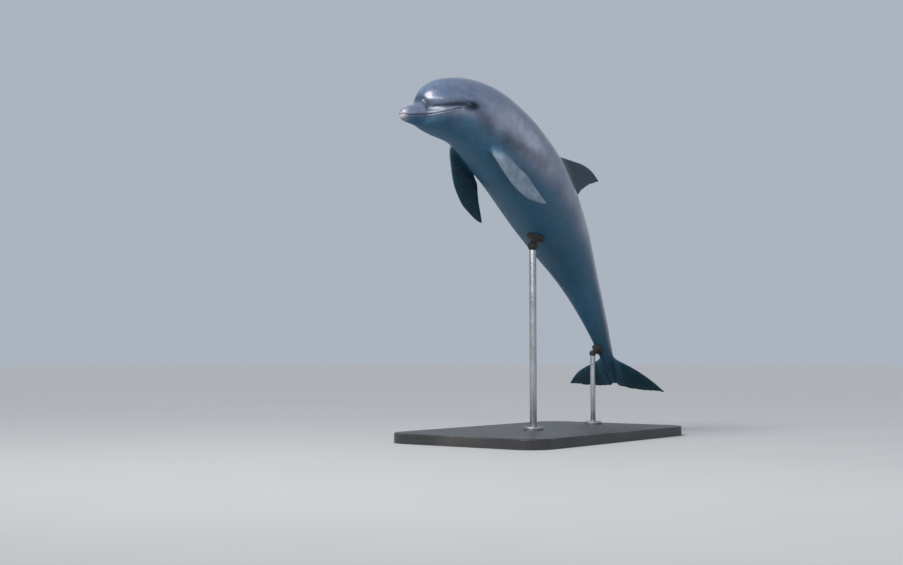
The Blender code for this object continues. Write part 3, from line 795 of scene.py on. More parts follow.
# %% Blowhole, wrinkles and the marks of the belly
SLOT_BOW, SLOT_DEPTH, SLOT_WIDTH = 38, 0.0050, 0.0024
SLOT_LIP, SLOT_LIP_WIDTH, SLOT_LIP_RISE = 0.0060, 0.0035, 0.0012
MOUND_RISE, MOUND_REACH = 0.0022, 0.026
WRINKLE_DEPTH, WRINKLE_SPACING = 0.0011, 0.031
NAVEL_DEPTH, NAVEL_REACH, NAVEL_NARROWING = 0.0050, 0.0085, 1.6
SLIT_DEPTH, SLIT_WIDTH, SLIT_SWELL, SLIT_SWELL_WIDTH = 0.0040, 0.0050, 0.0024, 0.026
VENT, VENT_DEPTH, VENT_REACH = 0.718, 0.0050, 0.0060
MUSCLE_HOLLOW, MUSCLE_SWELL = (-0.20, 0.20, 0.0032), (0.25, 0.25, -0.0018)  # height, width, depth
UNEVENNESS, UNEVENNESS_SCALE = 0.0014, 6

bow = x - (BLOWHOLE * LENGTH - SLOT_BOW * y**2)
slot_fade = (z > 0) * (1 - ramp(np.abs(y), 0.014, 0.019))
press(-MOUND_RISE, hump(np.hypot(x - BLOWHOLE * LENGTH, y), MOUND_REACH) * (z > 0))
press(SLOT_DEPTH, hump(bow, SLOT_WIDTH) * slot_fade)
press(-SLOT_LIP_RISE, hump(bow - SLOT_LIP, SLOT_LIP_WIDTH) * slot_fade)

wobble = 0.9 * np.sin(31 * y) + 0.6 * np.sin(47 * z + 23 * y)
wrinkles = np.clip(np.cos(math.tau * x / WRINKLE_SPACING + wobble), 0, 1) ** 3
throat = along(0.145, 0.165, 0.200, 0.222) * ramp(-height, 0.05, 0.70) * (away < 0.01)
press(WRINKLE_DEPTH, wrinkles * throat)

belly = (z < 0) * (away < 0.01)
from_slit = np.hypot(np.maximum(np.maximum(SLIT_START - s, s - SLIT_END), 0) * LENGTH, y)
press(NAVEL_DEPTH, hump(np.hypot(x - NAVEL * LENGTH, NAVEL_NARROWING * y), NAVEL_REACH) * belly)
press(-SLIT_SWELL, hump(from_slit, SLIT_SWELL_WIDTH) * belly)
press(SLIT_DEPTH, hump(from_slit, SLIT_WIDTH) * belly)
press(VENT_DEPTH, hump(np.hypot(x - VENT * LENGTH, y), VENT_REACH) * belly)

stock = along(0.60, 0.70, 0.84, 0.90) * (away < 0.006)
for middle, muscle_width, depth in (MUSCLE_HOLLOW, MUSCLE_SWELL):
    press(depth, hump(height - middle, muscle_width) * stock)
swell = np.array([noise.noise(Vector(point) * UNEVENNESS_SCALE) for point in points])
press(-UNEVENNESS, swell * (away < 0.01) * ramp(s, 0.12, 0.22))
print("folds:", int((np.abs(push) > 0.0005).sum()), "points moved by over half a millimetre")

# %% [markdown]
# The thin rear edges of the dorsal fin and the flukes tear and heal through a dolphin's life,
# so they are never straight. A noise along each edge cuts small notches into it.

# %% Nicks in the rear edges of the fins
NICK_DEPTH, NICK_REACH = 0.0060, 0.016

ragged = np.array([noise.noise(Vector((9 * point[1] + 3, 41 * point[2], 37 * point[1])))
                   for point in points])
on_back_fin = (z > 0.098 * LENGTH) * (s > 0.40) * (s < 0.61)
back_edge = DORSAL_TRAILING(z / LENGTH) * LENGTH - x
on_tail_fin = (s > 0.90) * (np.abs(y) > 0.016 * LENGTH)
tail_edge = FLUKE_TRAILING(np.abs(y) / LENGTH) * LENGTH - x
nicks = hump(back_edge, NICK_REACH) * on_back_fin + hump(tail_edge, NICK_REACH) * on_tail_fin
moved = points + normals * push[:, None]
moved[:, 0] -= NICK_DEPTH * np.clip(ragged, -0.2, 1) * nicks
print("deepest detail:", round(-1000 * float(push.min()), 1), "mm")

# %% [markdown]
# ## Markings, painted light and painted shade
# A dolphin is dark above and pale below, with darker fins, a dark patch round the eye and a
# worn, pale beak tip. Here the belly is painted dark teal instead, as painted shade and a painted
# reflection of the sea; the upper flank carries a blaze of painted light, and the crease, the
# grooves, the jaw, the flanks behind the flippers and the tail carry painted shade. Each of these
# is a value for every point of the skin, worked out on the straight animal. The material turns
# the values into colours and breaks their edges up with noise. The place on the straight animal
# is kept as well, so that no pattern is stretched by the leap.

# %% Find the markings and the painted shade of the head
EYE_PATCH_FULL, EYE_PATCH_END, EYE_PATCH_STRETCH = 0.010, 0.040, 1.8
BRIDLE_SHADE_FRONT, BRIDLE_SHADE_BACK = 0.014, 0.028    # half width of the dark line from beak to eye
STRIPE_STATIONS, STRIPE_HEIGHTS, STRIPE_WIDTH = (0.125, 0.185), (0.12, -0.33), 0.25
JAW_SHADE_EDGE = 0.005

side_of = np.where(y < 0, -1, 1)
on_trunk = away < 0.012
from_patch = np.hypot((eye_x + 0.003) / EYE_PATCH_STRETCH, eye_z + 0.004)
eye_patch = 1 - ramp(from_patch, EYE_PATCH_FULL, EYE_PATCH_END)
# A dark band from the crease to the eye: a bridle marking deepened with painted shade in the valley
# under the brow.
bridle_and_valley_shade = 1 - ramp(np.abs(valley + 0.001), 0.0, between(BRIDLE_SHADE_FRONT, BRIDLE_SHADE_BACK, valley_way))
bridle_and_valley_shade = bridle_and_valley_shade * along(0.044, 0.062, 0.118, 0.150)
stripe = hump(height - np.interp(s, STRIPE_STATIONS, STRIPE_HEIGHTS), STRIPE_WIDTH)
stripe = stripe * along(0.112, 0.134, 0.158, 0.192) * on_trunk
# Painted shade on the lower jaw, and at the front on the sides of the beak above the lips.
jaw_shade_top = 0.014 * (1 - ramp(s, 0.040, 0.060))
jaw_shade = 1 - ramp(above_lips, jaw_shade_top - JAW_SHADE_EDGE, jaw_shade_top + JAW_SHADE_EDGE)
jaw_shade = jaw_shade * along(0.012, 0.028, 0.078, 0.114) * ramp(height, -0.98, -0.60)
# Painted shade in the crease in front of the melon.
crease_shade = hump(crease, 0.012) * ramp(above_lips, 0.004, 0.020) * before_eyes
beak_tip = (1 - ramp(s, 0.003, 0.016)) * np.where(above_lips < 0, 1.0, 0.35)
# Painted highlight: a faint pale line along the lower lip.
lip_highlight = hump(above_lips + 0.0055, 0.0035) * lips
# Painted shade in the mouth and in the blowhole.
mouth_shade = hump(above_lips, gape) * lips
blow_shade = hump(bow, 0.004) * slot_fade
print("eye patch:", int((eye_patch > 0.5).sum()), "points")

# %% [markdown]
# Behind the head the body darkens towards the tail, as painted shade. A pale blaze of painted
# light sweeps up each side from the flipper, over the upper flank. The painted shadow above a
# flipper follows the flipper's root. A flipper's outer face is painted pale, as painted light,
# and its inner face dark, as painted shade; the other fins are dark on both.

# %% Find the markings, painted light and painted shade of the body
BLAZE_STATION, BLAZE_LENGTH, BLAZE_HEIGHT, BLAZE_WIDTH = 0.266, 0.074, 0.30, 0.28
ARMPIT_START, ARMPIT_END, ARMPIT_WIDTH = 0.215, 0.330, 0.038
ARMPIT_HEIGHTS = (-0.030, 0.055)

# Painted light: a pale blaze on the upper flank behind the flipper, where light falls.
blaze_of_painted_light = hump(s - BLAZE_STATION, BLAZE_LENGTH) * hump(height - BLAZE_HEIGHT, BLAZE_WIDTH) * on_trunk
# Painted shade in the slits under the belly.
slit_shade = hump(from_slit, 0.007) * belly
fin = ramp(away, 0.004, 0.070) * np.where(s > 0.85, 1.0, 0.8 * (z > 0))
# Painted shade towards the tail.
tail_shade = ramp(s, 0.74, 0.94)
# Painted light on the outer face of each flipper; its inner face gets painted shade with the fins.
flipper = ramp(away, 0.003, 0.030) * (z < 0.05) * (s > 0.18) * (s < 0.48)
outer_face = ramp(normals[:, 1] * side_of, -0.25, 0.35)
# Painted shadow on the flank above and behind each flipper, along its root.
beyond_armpit = np.maximum(np.maximum(ARMPIT_START - s, s - ARMPIT_END), 0) * LENGTH
armpit_line = np.interp(s, (ARMPIT_START, ARMPIT_END), ARMPIT_HEIGHTS)
armpit_shadow = hump(np.hypot(beyond_armpit, z - armpit_line), ARMPIT_WIDTH) * on_trunk
print("flippers:", int((flipper > 0.5).sum()), "points; blaze:", int((blaze_of_painted_light > 0.5).sum()), "points")

# %% [markdown]
# Where marks of one kind overlap, the strongest one counts, so they join without a darker
# edge. Each kind is stored on the mesh as an attribute, which the material reads by its name.

# %% Store the markings, painted light and painted shade
def strongest(*marks):
    """The largest of several marks at each point; each is given with its strength."""
    return np.maximum.reduce([strength * mark for strength, mark in marks])


marks_and_painted_light = {
    "back": ramp(height + 0.26 - 0.42 * ramp(s, 0.20, 0.42), -0.80, 0.85),
    # Dark marks round the eye and along the stripe, with painted shade in the crease, the valley
    # under the brow, on the jaw and behind the flippers.
    "dark_marks_and_shade": strongest((0.97, eye_patch), (0.94, bridle_and_valley_shade), (0.75, crease_shade), (0.55, stripe),
                      (0.45, jaw_shade), (0.48, armpit_shadow)),
    # The worn, pale beak tip, with a faint painted highlight along the lower lip.
    "pale": strongest((1.0, beak_tip), (0.06, lip_highlight)),
    # Painted light on the upper flank.
    "blaze_of_painted_light": blaze_of_painted_light,
    # Darker fins, with painted shade towards the tail and on the inner face of each flipper.
    "fin": strongest((1.0, fin), (0.60, tail_shade), (1 - outer_face, flipper)),
    # Painted light on the outer face of each flipper.
    "flipper": flipper * outer_face,
    # Painted shade in the mouth, the blowhole, the slits and inside the opening of each eye.
    "groove_shade": strongest((1.0, mouth_shade), (1.0, blow_shade), (0.35, slit_shade),
                        (opening, by_eye)),
}
for label, values in marks_and_painted_light.items():
    layer = skin.data.attributes.new(label, "FLOAT", "POINT")
    layer.data.foreach_set("value", values.astype(np.float32))
layer = skin.data.attributes.new("rest", "FLOAT_VECTOR", "POINT")
layer.data.foreach_set("vector", rest.astype(np.float32).ravel())
print("markings:", ", ".join(marks_and_painted_light))

# %% [markdown]
# ## Into the leap
# The spine bends the body, but a flipper is stiff: it is carried whole by the frame of its own
# root. Near the flank the two are blended.

# %% Bend the skin
ROOT_STATION = {-1: FLIPPERS["flipper_left"][1][0], 1: FLIPPERS["flipper_right"][1][0]}


def into_the_leap(points, stiff=None):
    """Bends points; where stiff is 1 they go with the root of the flipper on their side."""
    leap = bend(points)
    if stiff is None:
        return leap
    for side, station in ROOT_STATION.items():
        places, axes = frames_at(np.array([station]))
        whole = places[0] + (points - [station * LENGTH, 0, 0]) @ axes[0].T
        weight = (stiff * (points[:, 1] * side > 0))[:, None]
        leap = leap * (1 - weight) + whole * weight
    return leap


skin.data.vertices.foreach_set("co", into_the_leap(moved, flipper).ravel())
skin.data.update()
flesh = [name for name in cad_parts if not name.startswith(("stand_", "eye_"))]
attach(skin, "root")
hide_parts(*flesh)
print("skin replaces", len(flesh), "solids")

# %% [markdown]
# ## Eyes
# Each eye is a ball in its socket, with the cornea as a low dome at the front. Only the part
# between the lids shows. Its points keep their place on the ball, for the pattern of the iris.

# %% Make the eyes
CORNEA_RISE, CORNEA_REACH = 0.0009, 0.0062


def make_eye(name, side):
    deselect_all()
    bpy.ops.mesh.primitive_uv_sphere_add(segments=48, ring_count=32, radius=EYE_RADIUS)
    ball = bpy.context.object
    ball.name = ball.data.name = "visual_" + name
    bpy.ops.object.mode_set(mode="EDIT")
    bpy.ops.mesh.select_all(action="SELECT")
    bpy.ops.transform.rotate(value=math.pi / 2, orient_axis="X", center_override=(0, 0, 0))
    bpy.ops.object.mode_set(mode="OBJECT")
    local = points_of(ball)
    facing = np.hypot(local[:, 0], local[:, 2])
    front = local[:, 1] * side > 0
    local += local / EYE_RADIUS * (CORNEA_RISE * hump(facing, CORNEA_REACH) * front)[:, None]
    gaze = ball.data.attributes.new("gaze", "FLOAT_VECTOR", "POINT")
    gaze.data.foreach_set("vector", (local * [1, side, 1] / EYE_RADIUS).astype(np.float32).ravel())
    centre = EYE_PLACE * [1, side, 1] - [0, side * (EYE_RADIUS - EYE_PROUD), 0]
    ball.data.vertices.foreach_set("co", into_the_leap(local + centre).ravel())
    ball.data.update()
    bpy.ops.object.shade_smooth()
    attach(ball, "root")
    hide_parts(name)
    return ball


eyes = [make_eye("eye_left", -1), make_eye("eye_right", 1)]
print("eyes:", [len(eye.data.polygons) for eye in eyes], "faces")

# %% [markdown]
# ## Helpers for materials
# Materials are trees of nodes. These helpers add one node each and wire it at once: an input
# is either a plain value or the output of another node. They also start a material, and an
# effect that materials share.

# %% Short ways to add nodes
def feed(tree, socket, value):
    if isinstance(value, bpy.types.NodeSocket):
        tree.links.new(value, socket)
    else:
        socket.default_value = value


def add_node(tree, kind, inputs, output=0, **settings):
    """Adds a node of a kind, feeds its inputs, and returns one of its outputs."""
    node = tree.nodes.new("ShaderNode" + kind)
    for label, value in settings.items():
        setattr(node, label, value)
    for label, value in inputs.items():
        feed(tree, node.inputs[label], value)
    return node.outputs[output]


def calculate(tree, operation, a, b=0.0, c=0.0):
    return add_node(tree, "Math", {0: a, 1: b, 2: c}, operation=operation)


def blend(tree, factor, a, b, how="MIX"):
    return add_node(tree, "Mix", {0: factor, 6: a, 7: b}, 2, data_type="RGBA", blend_type=how)


def spread_out(tree, value, low, high, to_low=0.0, to_high=1.0):
    """Stretches low..high to to_low..to_high, smoothly and without going past them."""
    inputs = {"Value": value, "From Min": low, "From Max": high, "To Min": to_low, "To Max": to_high}
    return add_node(tree, "MapRange", inputs, interpolation_type="SMOOTHSTEP")


def noise_at(tree, vector, scale, detail=4.0, stretch=(1, 1, 1), turn=(0, 0, 0)):
    placed = add_node(tree, "Mapping", {"Vector": vector, "Scale": stretch, "Rotation": turn})
    return add_node(tree, "TexNoise", {"Vector": placed, "Scale": scale, "Detail": detail})


def colour_ramp(tree, factor, stops):
    node = tree.nodes.new("ShaderNodeValToRGB")
    elements = node.color_ramp.elements
    elements[0].position, elements[1].position = stops[0][0], stops[-1][0]
    elements[0].color, elements[1].color = (*stops[0][1], 1), (*stops[-1][1], 1)
    for place, colour in stops[1:-1]:
        elements.new(place).color = (*colour, 1)
    feed(tree, node.inputs["Fac"], factor)
    return node.outputs["Color"]


def bump(tree, height, distance, strength=1.0):
    return add_node(tree, "Bump", {"Height": height, "Distance": distance, "Strength": strength})


def attribute(tree, label, output="Fac"):
    return add_node(tree, "Attribute", {}, output, attribute_name=label)


def new_effect(name, inputs, outputs):
    """An empty node group with named inputs and outputs, for an effect that several share."""
    group = bpy.data.node_groups.new(name, "ShaderNodeTree")
    for label, kind, value in inputs:
        socket = group.interface.new_socket(label, in_out="INPUT", socket_type="NodeSocket" + kind)
        if value is not None:
            socket.default_value = value
    for label, kind in outputs:
        group.interface.new_socket(label, in_out="OUTPUT", socket_type="NodeSocket" + kind)
    return group, group.nodes.new("NodeGroupInput").outputs, group.nodes.new("NodeGroupOutput").inputs


def use_effect(tree, group, inputs):
    """Places a node group in a tree and returns its outputs by name."""
    node = tree.nodes.new("ShaderNodeGroup")
    node.node_tree = group
    for label, value in inputs.items():
        feed(tree, node.inputs[label], value)
    return node.outputs


def new_material(name, constants):
    """A material with a Principled shader whose constants are set on its own sockets."""
    material = bpy.data.materials.new(name)
    material.use_nodes = True
    shader = material.node_tree.nodes["Principled BSDF"]
    for label, value in constants.items():
        shader.inputs[label].default_value = value
    return material, material.node_tree, shader.inputs


trial = bpy.data.node_groups.new("trial", "ShaderNodeTree")
print("a Principled shader has", len(trial.nodes.new("ShaderNodeBsdfPrincipled").inputs), "inputs")
bpy.data.node_groups.remove(trial)

# %% [markdown]
# ## Effects that materials share
# Cloudy variation, fine scratches and settled dust turn up on more than one surface, so each is
# a node group that is built once and used with other values. The brushed lines of steel are a
# node group as well; the worn edges of the base are worked out in its own material.

# %% Build the shared effects
def build_clouds():
    """Soft variation at two sizes, from 0 to 1."""
    group, given, result = new_effect(
        "Clouds", [("Vector", "Vector", None), ("Scale", "Float", 5.0)], [("Value", "Float")]
    )
    wide = noise_at(group, given["Vector"], given["Scale"], 3.0)
    finer = calculate(group, "MULTIPLY", given["Scale"], 5.3)
    fine = noise_at(group, given["Vector"], finer, 5.0)
    total = calculate(group, "MULTIPLY_ADD", wide, 0.6, calculate(group, "MULTIPLY", fine, 0.4))
    feed(group, result["Value"], spread_out(group, total, 0.32, 0.68))
    return group


def build_scratches():
    """Thin streaks in two directions, gathered in patches."""
    group, given, result = new_effect(
        "Scratches",
        [("Vector", "Vector", None), ("Scale", "Float", 9.0), ("Amount", "Float", 0.5)],
        [("Mask", "Float")],
    )
    masks = []
    for turn, place in (((0.5, 0.35, 0.2), 2.3), ((-0.4, 0.15, -0.5), 3.1)):
        streak = noise_at(group, given["Vector"], given["Scale"], 2.0, (1, 22, 22), turn)
        line = spread_out(group, streak, 0.645, 0.675)
        patch = spread_out(group, noise_at(group, given["Vector"], place, 2.0), 0.50, 0.66)
        masks.append(calculate(group, "MULTIPLY", line, patch))
    both = calculate(group, "MAXIMUM", *masks)
    feed(group, result["Mask"], calculate(group, "MULTIPLY", both, given["Amount"]))
    return group


def build_dust():
    """Specks of dust in a thin, cloudy veil."""
    group, given, result = new_effect(
        "Dust",
        [("Vector", "Vector", None), ("Amount", "Float", 0.5)],
        [("Mask", "Float")],
    )
    veil = spread_out(group, noise_at(group, given["Vector"], 3.5, 6.0), 0.35, 0.75)
    specks = spread_out(group, noise_at(group, given["Vector"], 260.0, 1.0), 0.72, 0.78)
    both = calculate(group, "MAXIMUM", calculate(group, "MULTIPLY", veil, 0.5), specks)
    feed(group, result["Mask"], calculate(group, "MULTIPLY", both, given["Amount"]))
    return group


def build_brushing():
    """Fine lines round a turned or along a drawn metal piece, by how space is stretched."""
    group, given, result = new_effect(
        "Brushing",
        [("Vector", "Vector", None), ("Stretch", "Vector", (4.0, 4.0, 600.0))],
        [("Value", "Float")],
    )
    lines = noise_at(group, given["Vector"], 1.0, 6.0, given["Stretch"])
    feed(group, result["Value"], spread_out(group, lines, 0.30, 0.70))
    return group


CLOUDS, SCRATCHES, DUST, BRUSHING = build_clouds(), build_scratches(), build_dust(), build_brushing()
print("effects:", [group.name for group in (CLOUDS, SCRATCHES, DUST, BRUSHING)])

# %% [markdown]
# ## Skin
# Wet dolphin skin is rubbery grey under a thin, very smooth film of water. The grey comes from
# the markings, together with painted light and painted shade; the film is a clear coat. Rake
# marks from other dolphins' teeth, blotches and a fine grain keep it from looking like plastic.

# %% Paint the skin
# From belly (0) to back (1): the dark teal at the belly end is painted shade and a painted reflection
# of the sea, and the lighter band along the upper side is the flank's grey brightened with painted
# light.
BACK_STOPS = [(0.00, (0.028, 0.106, 0.184)), (0.26, (0.034, 0.106, 0.182)),
              (0.42, (0.052, 0.110, 0.188)), (0.55, (0.102, 0.144, 0.222)),
              (0.68, (0.180, 0.208, 0.296)), (0.80, (0.152, 0.188, 0.276)),
              (0.91, (0.082, 0.122, 0.196)), (1.00, (0.056, 0.092, 0.162))]
WARM_COLOUR = (0.098, 0.104, 0.146, 1)
BLAZE_PAINTED_LIGHT_COLOUR = (0.500, 0.520, 0.660, 1)
FIN_AND_SHADE_COLOUR = (0.009, 0.036, 0.052, 1)
FLIPPER_PAINTED_LIGHT_COLOUR = (0.200, 0.250, 0.310, 1)
DARK_MARK_AND_SHADE_COLOUR = (0.007, 0.017, 0.030, 1)
PALE_COLOUR = (0.44, 0.38, 0.37, 1)
RAKE_COLOUR = (0.26, 0.31, 0.38, 1)
GROOVE_SHADE_COLOUR = (0.006, 0.008, 0.010, 1)
IRIS_STOPS = [(0.00, (0.001, 0.001, 0.002)), (0.19, (0.002, 0.001, 0.002)),
              (0.25, (0.016, 0.009, 0.006)), (0.44, (0.009, 0.006, 0.005)),
              (0.56, (0.004, 0.003, 0.003)), (0.72, (0.014, 0.011, 0.011)),
              (1.00, (0.030, 0.022, 0.021))]


def make_skin_material():
    material, tree, shader = new_material(
        "wet skin", {"Coat Roughness": 0.13, "Coat IOR": 1.36}
    )
    place = attribute(tree, "rest", "Vector")
    clouds = use_effect(tree, CLOUDS, {"Vector": place, "Scale": 6.0})["Value"]
    blotches = use_effect(tree, CLOUDS, {"Vector": place, "Scale": 26.0})["Value"]
    rakes = use_effect(tree, SCRATCHES, {"Vector": place, "Scale": 9.0, "Amount": 0.15})["Mask"]
    grain = noise_at(tree, place, 420.0, 3.0, (0.35, 1, 1))
    shift = spread_out(tree, clouds, 0.0, 1.0, -0.045, 0.045)
    back = calculate(tree, "ADD", attribute(tree, "back"), shift)
    colour = colour_ramp(tree, back, BACK_STOPS)
    mottle = use_effect(tree, CLOUDS, {"Vector": place, "Scale": 13.0})["Value"]
    above = spread_out(tree, back, 0.45, 0.75, 0.0, 0.60)
    colour = blend(tree, calculate(tree, "MULTIPLY", mottle, above), colour, WARM_COLOUR)
    # Painted light on the upper flank, broken up by the clouds.
    streaked = spread_out(tree, clouds, 0, 1, 0.5, 0.9)
    blaze_of_painted_light = calculate(tree, "MULTIPLY", attribute(tree, "blaze_of_painted_light"), streaked)
    colour = blend(tree, blaze_of_painted_light, colour, BLAZE_PAINTED_LIGHT_COLOUR)
    # Darker fins, with painted shade towards the tail and on the flippers' inner faces.
    fin = calculate(tree, "MULTIPLY", attribute(tree, "fin"), 0.93)
    colour = blend(tree, fin, colour, FIN_AND_SHADE_COLOUR)
    # Painted light on the outer face of each flipper, with speckles.
    speckle = spread_out(tree, blotches, 0.10, 0.90, 0.66, 0.92)
    flipper = calculate(tree, "MULTIPLY", attribute(tree, "flipper"), speckle)
    colour = blend(tree, flipper, colour, FLIPPER_PAINTED_LIGHT_COLOUR)
    # Darkens the eye patch and the stripe, and paints shade into the crease, the valley under the
    # brow, the jaw and the flanks behind the flippers.
    colour = blend(tree, attribute(tree, "dark_marks_and_shade"), colour, DARK_MARK_AND_SHADE_COLOUR)
    # Breaks up the worn beak tip and the painted highlight on the lower lip.
    pale_breakup = spread_out(tree, blotches, 0.15, 0.80, 0.35, 1.0)
    pale = calculate(tree, "MULTIPLY", attribute(tree, "pale"), pale_breakup)
    colour = blend(tree, pale, colour, PALE_COLOUR)
    colour = blend(tree, rakes, colour, RAKE_COLOUR)
    shade = colour_ramp(tree, blotches, [(0, (0.84, 0.84, 0.84)), (1, (1.10, 1.10, 1.10))])
    colour = blend(tree, 1.0, colour, shade, "MULTIPLY")
    # Painted shade in the mouth, the blowhole, the slits and inside the eyes' openings.
    colour = blend(tree, attribute(tree, "groove_shade"), colour, GROOVE_SHADE_COLOUR)
    feed(tree, shader["Base Color"], colour)
    film = spread_out(tree, clouds, 0.10, 0.90, 0.65, 1.0)
    wet = spread_out(tree, attribute(tree, "back"), 0.05, 0.60, 0.0, 1.0)
    matt = calculate(tree, "MAXIMUM", attribute(tree, "dark_marks_and_shade"), attribute(tree, "fin"))
    wet = calculate(tree, "MULTIPLY", wet, spread_out(tree, matt, 0.0, 1.0, 1.0, 0.15))
    feed(tree, shader["Coat Weight"], calculate(tree, "MULTIPLY", film, wet))
    feed(tree, shader["Specular IOR Level"], spread_out(tree, matt, 0.0, 1.0, 0.36, 0.16))
    dry = spread_out(tree, attribute(tree, "back"), 0.05, 0.50, 0.16, 0.0)
    rough = calculate(tree, "ADD", spread_out(tree, blotches, 0.0, 1.0, 0.30, 0.46), dry)
    feed(tree, shader["Roughness"], rough)
    relief = calculate(tree, "MULTIPLY_ADD", blotches, 0.6, calculate(tree, "MULTIPLY", grain, 0.25))
    relief = calculate(tree, "SUBTRACT", relief, calculate(tree, "MULTIPLY", rakes, 0.5))
    feed(tree, shader["Normal"], bump(tree, relief, 0.0007, 0.6))
    return material


skin.data.materials.clear()
skin.data.materials.append(make_skin_material())


def make_eye_material():
    material, tree, shader = new_material(
        "eye", {"Roughness": 0.25, "Specular IOR Level": 0.3, "Coat Roughness": 0.02,
                "Coat Weight": 0.4}
    )
    gaze = attribute(tree, "gaze", "Vector")
    flat = add_node(tree, "Mapping", {"Vector": gaze, "Scale": (0.72, 0, 1)})
    radius = add_node(tree, "VectorMath", {0: flat}, "Value", operation="LENGTH")
    streaks = noise_at(tree, gaze, 7.0, 5.0)
    edge = calculate(tree, "MULTIPLY_ADD", streaks, 0.10, calculate(tree, "SUBTRACT", radius, 0.05))
    feed(tree, shader["Base Color"], colour_ramp(tree, edge, IRIS_STOPS))
    return material


eye_material = make_eye_material()
for eye in eyes:
    eye.data.materials.clear()
    eye.data.materials.append(eye_material)
print("skin and eyes painted")

# %% [markdown]
# ## Finish of the stand
# The stand should stay in the background: a base painted satin black, brushed steel rods, and
# rubber pads where steel meets skin. Its solids have the right shapes, so they need no more
# than fine materials and rounder edges.

# %% Mix the finishes of the stand
BASE_HALF_SIZE = (0.75, 0.45, 0.05)         # its top is at 0.05 and its underside at 0
PAINT_DARK, PAINT_LIGHT = (0.017, 0.017, 0.019, 1), (0.022, 0.022, 0.024, 1)
WORN_PAINT, SCUFFED_PAINT = (0.085, 0.075, 0.065, 1), (0.060, 0.060, 0.062, 1)
STEEL_DARK, STEEL_LIGHT = (0.40, 0.41, 0.42, 1), (0.50, 0.51, 0.52, 1)
SCRATCHED_STEEL = (0.30, 0.30, 0.31, 1)
RUBBER_DARK, RUBBER_LIGHT = (0.012, 0.012, 0.013, 1), (0.024, 0.024, 0.026, 1)
DUST_ON_PAINT, DUST_ON_RUBBER = (0.32, 0.31, 0.29, 1), (0.22, 0.21, 0.20, 1)


def edge_distance(tree, place):
    """How close a place is to an edge of the base: 0 on an edge, negative away from it."""
    axes = tree.nodes.new("ShaderNodeSeparateXYZ")
    feed(tree, axes.inputs[0], place)
    sides = []
    for axis, half in enumerate(BASE_HALF_SIZE):
        from_middle = calculate(tree, "ABSOLUTE", axes.outputs[axis])
        sides.append(calculate(tree, "SUBTRACT", from_middle, half))
    outer = calculate(tree, "MAXIMUM", sides[0], sides[1])
    inner = calculate(tree, "MINIMUM", sides[0], sides[1])
    return calculate(tree, "MAXIMUM", inner, calculate(tree, "MINIMUM", outer, sides[2]))


def make_base_material():
    material, tree, shader = new_material("satin black paint", {"Coat Roughness": 0.25})
    place = add_node(tree, "TexCoord", {}, "Object")
    clouds = use_effect(tree, CLOUDS, {"Vector": place, "Scale": 4.0})["Value"]
    dust = use_effect(tree, DUST, {"Vector": place, "Amount": 0.14})["Mask"]
    scuffs = use_effect(tree, SCRATCHES, {"Vector": place, "Scale": 7.0, "Amount": 0.5})["Mask"]
    near = spread_out(tree, edge_distance(tree, place), -0.010, -0.001)
    wear = calculate(tree, "MULTIPLY", near, spread_out(tree, clouds, 0.55, 0.95, 0.0, 0.7))
    colour = blend(tree, clouds, PAINT_DARK, PAINT_LIGHT)
    colour = blend(tree, wear, colour, WORN_PAINT)
    colour = blend(tree, scuffs, colour, SCUFFED_PAINT)
    colour = blend(tree, dust, colour, DUST_ON_PAINT)
    feed(tree, shader["Base Color"], colour)
    rough = calculate(tree, "ADD", spread_out(tree, clouds, 0, 1, 0.37, 0.41),
                      calculate(tree, "MULTIPLY", dust, 0.4))
    feed(tree, shader["Roughness"], rough)
    peel = noise_at(tree, place, 180.0, 2.0)
    feed(tree, shader["Normal"], bump(tree, peel, 0.0006, 0.35))
    return material


def make_steel_material():
    material, tree, shader = new_material("brushed steel", {"Metallic": 1.0})
    place = add_node(tree, "TexCoord", {}, "Object")
    lines = use_effect(tree, BRUSHING, {"Vector": place, "Stretch": (6, 6, 260)})["Value"]
    clouds = use_effect(tree, CLOUDS, {"Vector": place, "Scale": 12.0})["Value"]
    marks = use_effect(tree, SCRATCHES, {"Vector": place, "Scale": 16.0, "Amount": 0.2})["Mask"]
    colour = blend(tree, clouds, STEEL_DARK, STEEL_LIGHT)
    colour = blend(tree, marks, colour, SCRATCHED_STEEL)
    feed(tree, shader["Base Color"], colour)
    rough = calculate(tree, "ADD", spread_out(tree, clouds, 0, 1, 0.24, 0.34),
                      calculate(tree, "MULTIPLY", lines, 0.06))
    feed(tree, shader["Roughness"], rough)
    feed(tree, shader["Normal"], bump(tree, lines, 0.0001, 0.15))
    return material


def make_rubber_material():
    material, tree, shader = new_material("black rubber", {"IOR": 1.45})
    place = add_node(tree, "TexCoord", {}, "Object")
    clouds = use_effect(tree, CLOUDS, {"Vector": place, "Scale": 25.0})["Value"]
    dust = use_effect(tree, DUST, {"Vector": place, "Amount": 0.12})["Mask"]
    colour = blend(tree, clouds, RUBBER_DARK, RUBBER_LIGHT)
    feed(tree, shader["Base Color"], blend(tree, dust, colour, DUST_ON_RUBBER))
    feed(tree, shader["Roughness"], spread_out(tree, clouds, 0, 1, 0.55, 0.75))
    grain = noise_at(tree, place, 500.0, 2.0)
    feed(tree, shader["Normal"], bump(tree, grain, 0.0004, 0.6))
    return material


base_material, steel, rubber = make_base_material(), make_steel_material(), make_rubber_material()
print("finishes:", [material.name for material in (base_material, steel, rubber)])

# %% [markdown]
# The rods and collars catch long highlights, which show up flat sides. So each of them is
# replaced by a piece with many more sides: a cylinder at the size of its solid, with its
# edges bevelled. Each collar is held down by three socket screws. The screw is modelled once,
# and the others are copies of it.

# %% Turn the rods and collars, and add the screws
STEEL_SIDES, STEEL_BEVEL = 96, 0.0012
SCREW_RADIUS, SCREW_HEIGHT, SOCKET_RADIUS, SOCKET_DEPTH = 0.0055, 0.0040, 0.0030, 0.0026
SCREWS_PER_COLLAR = 3


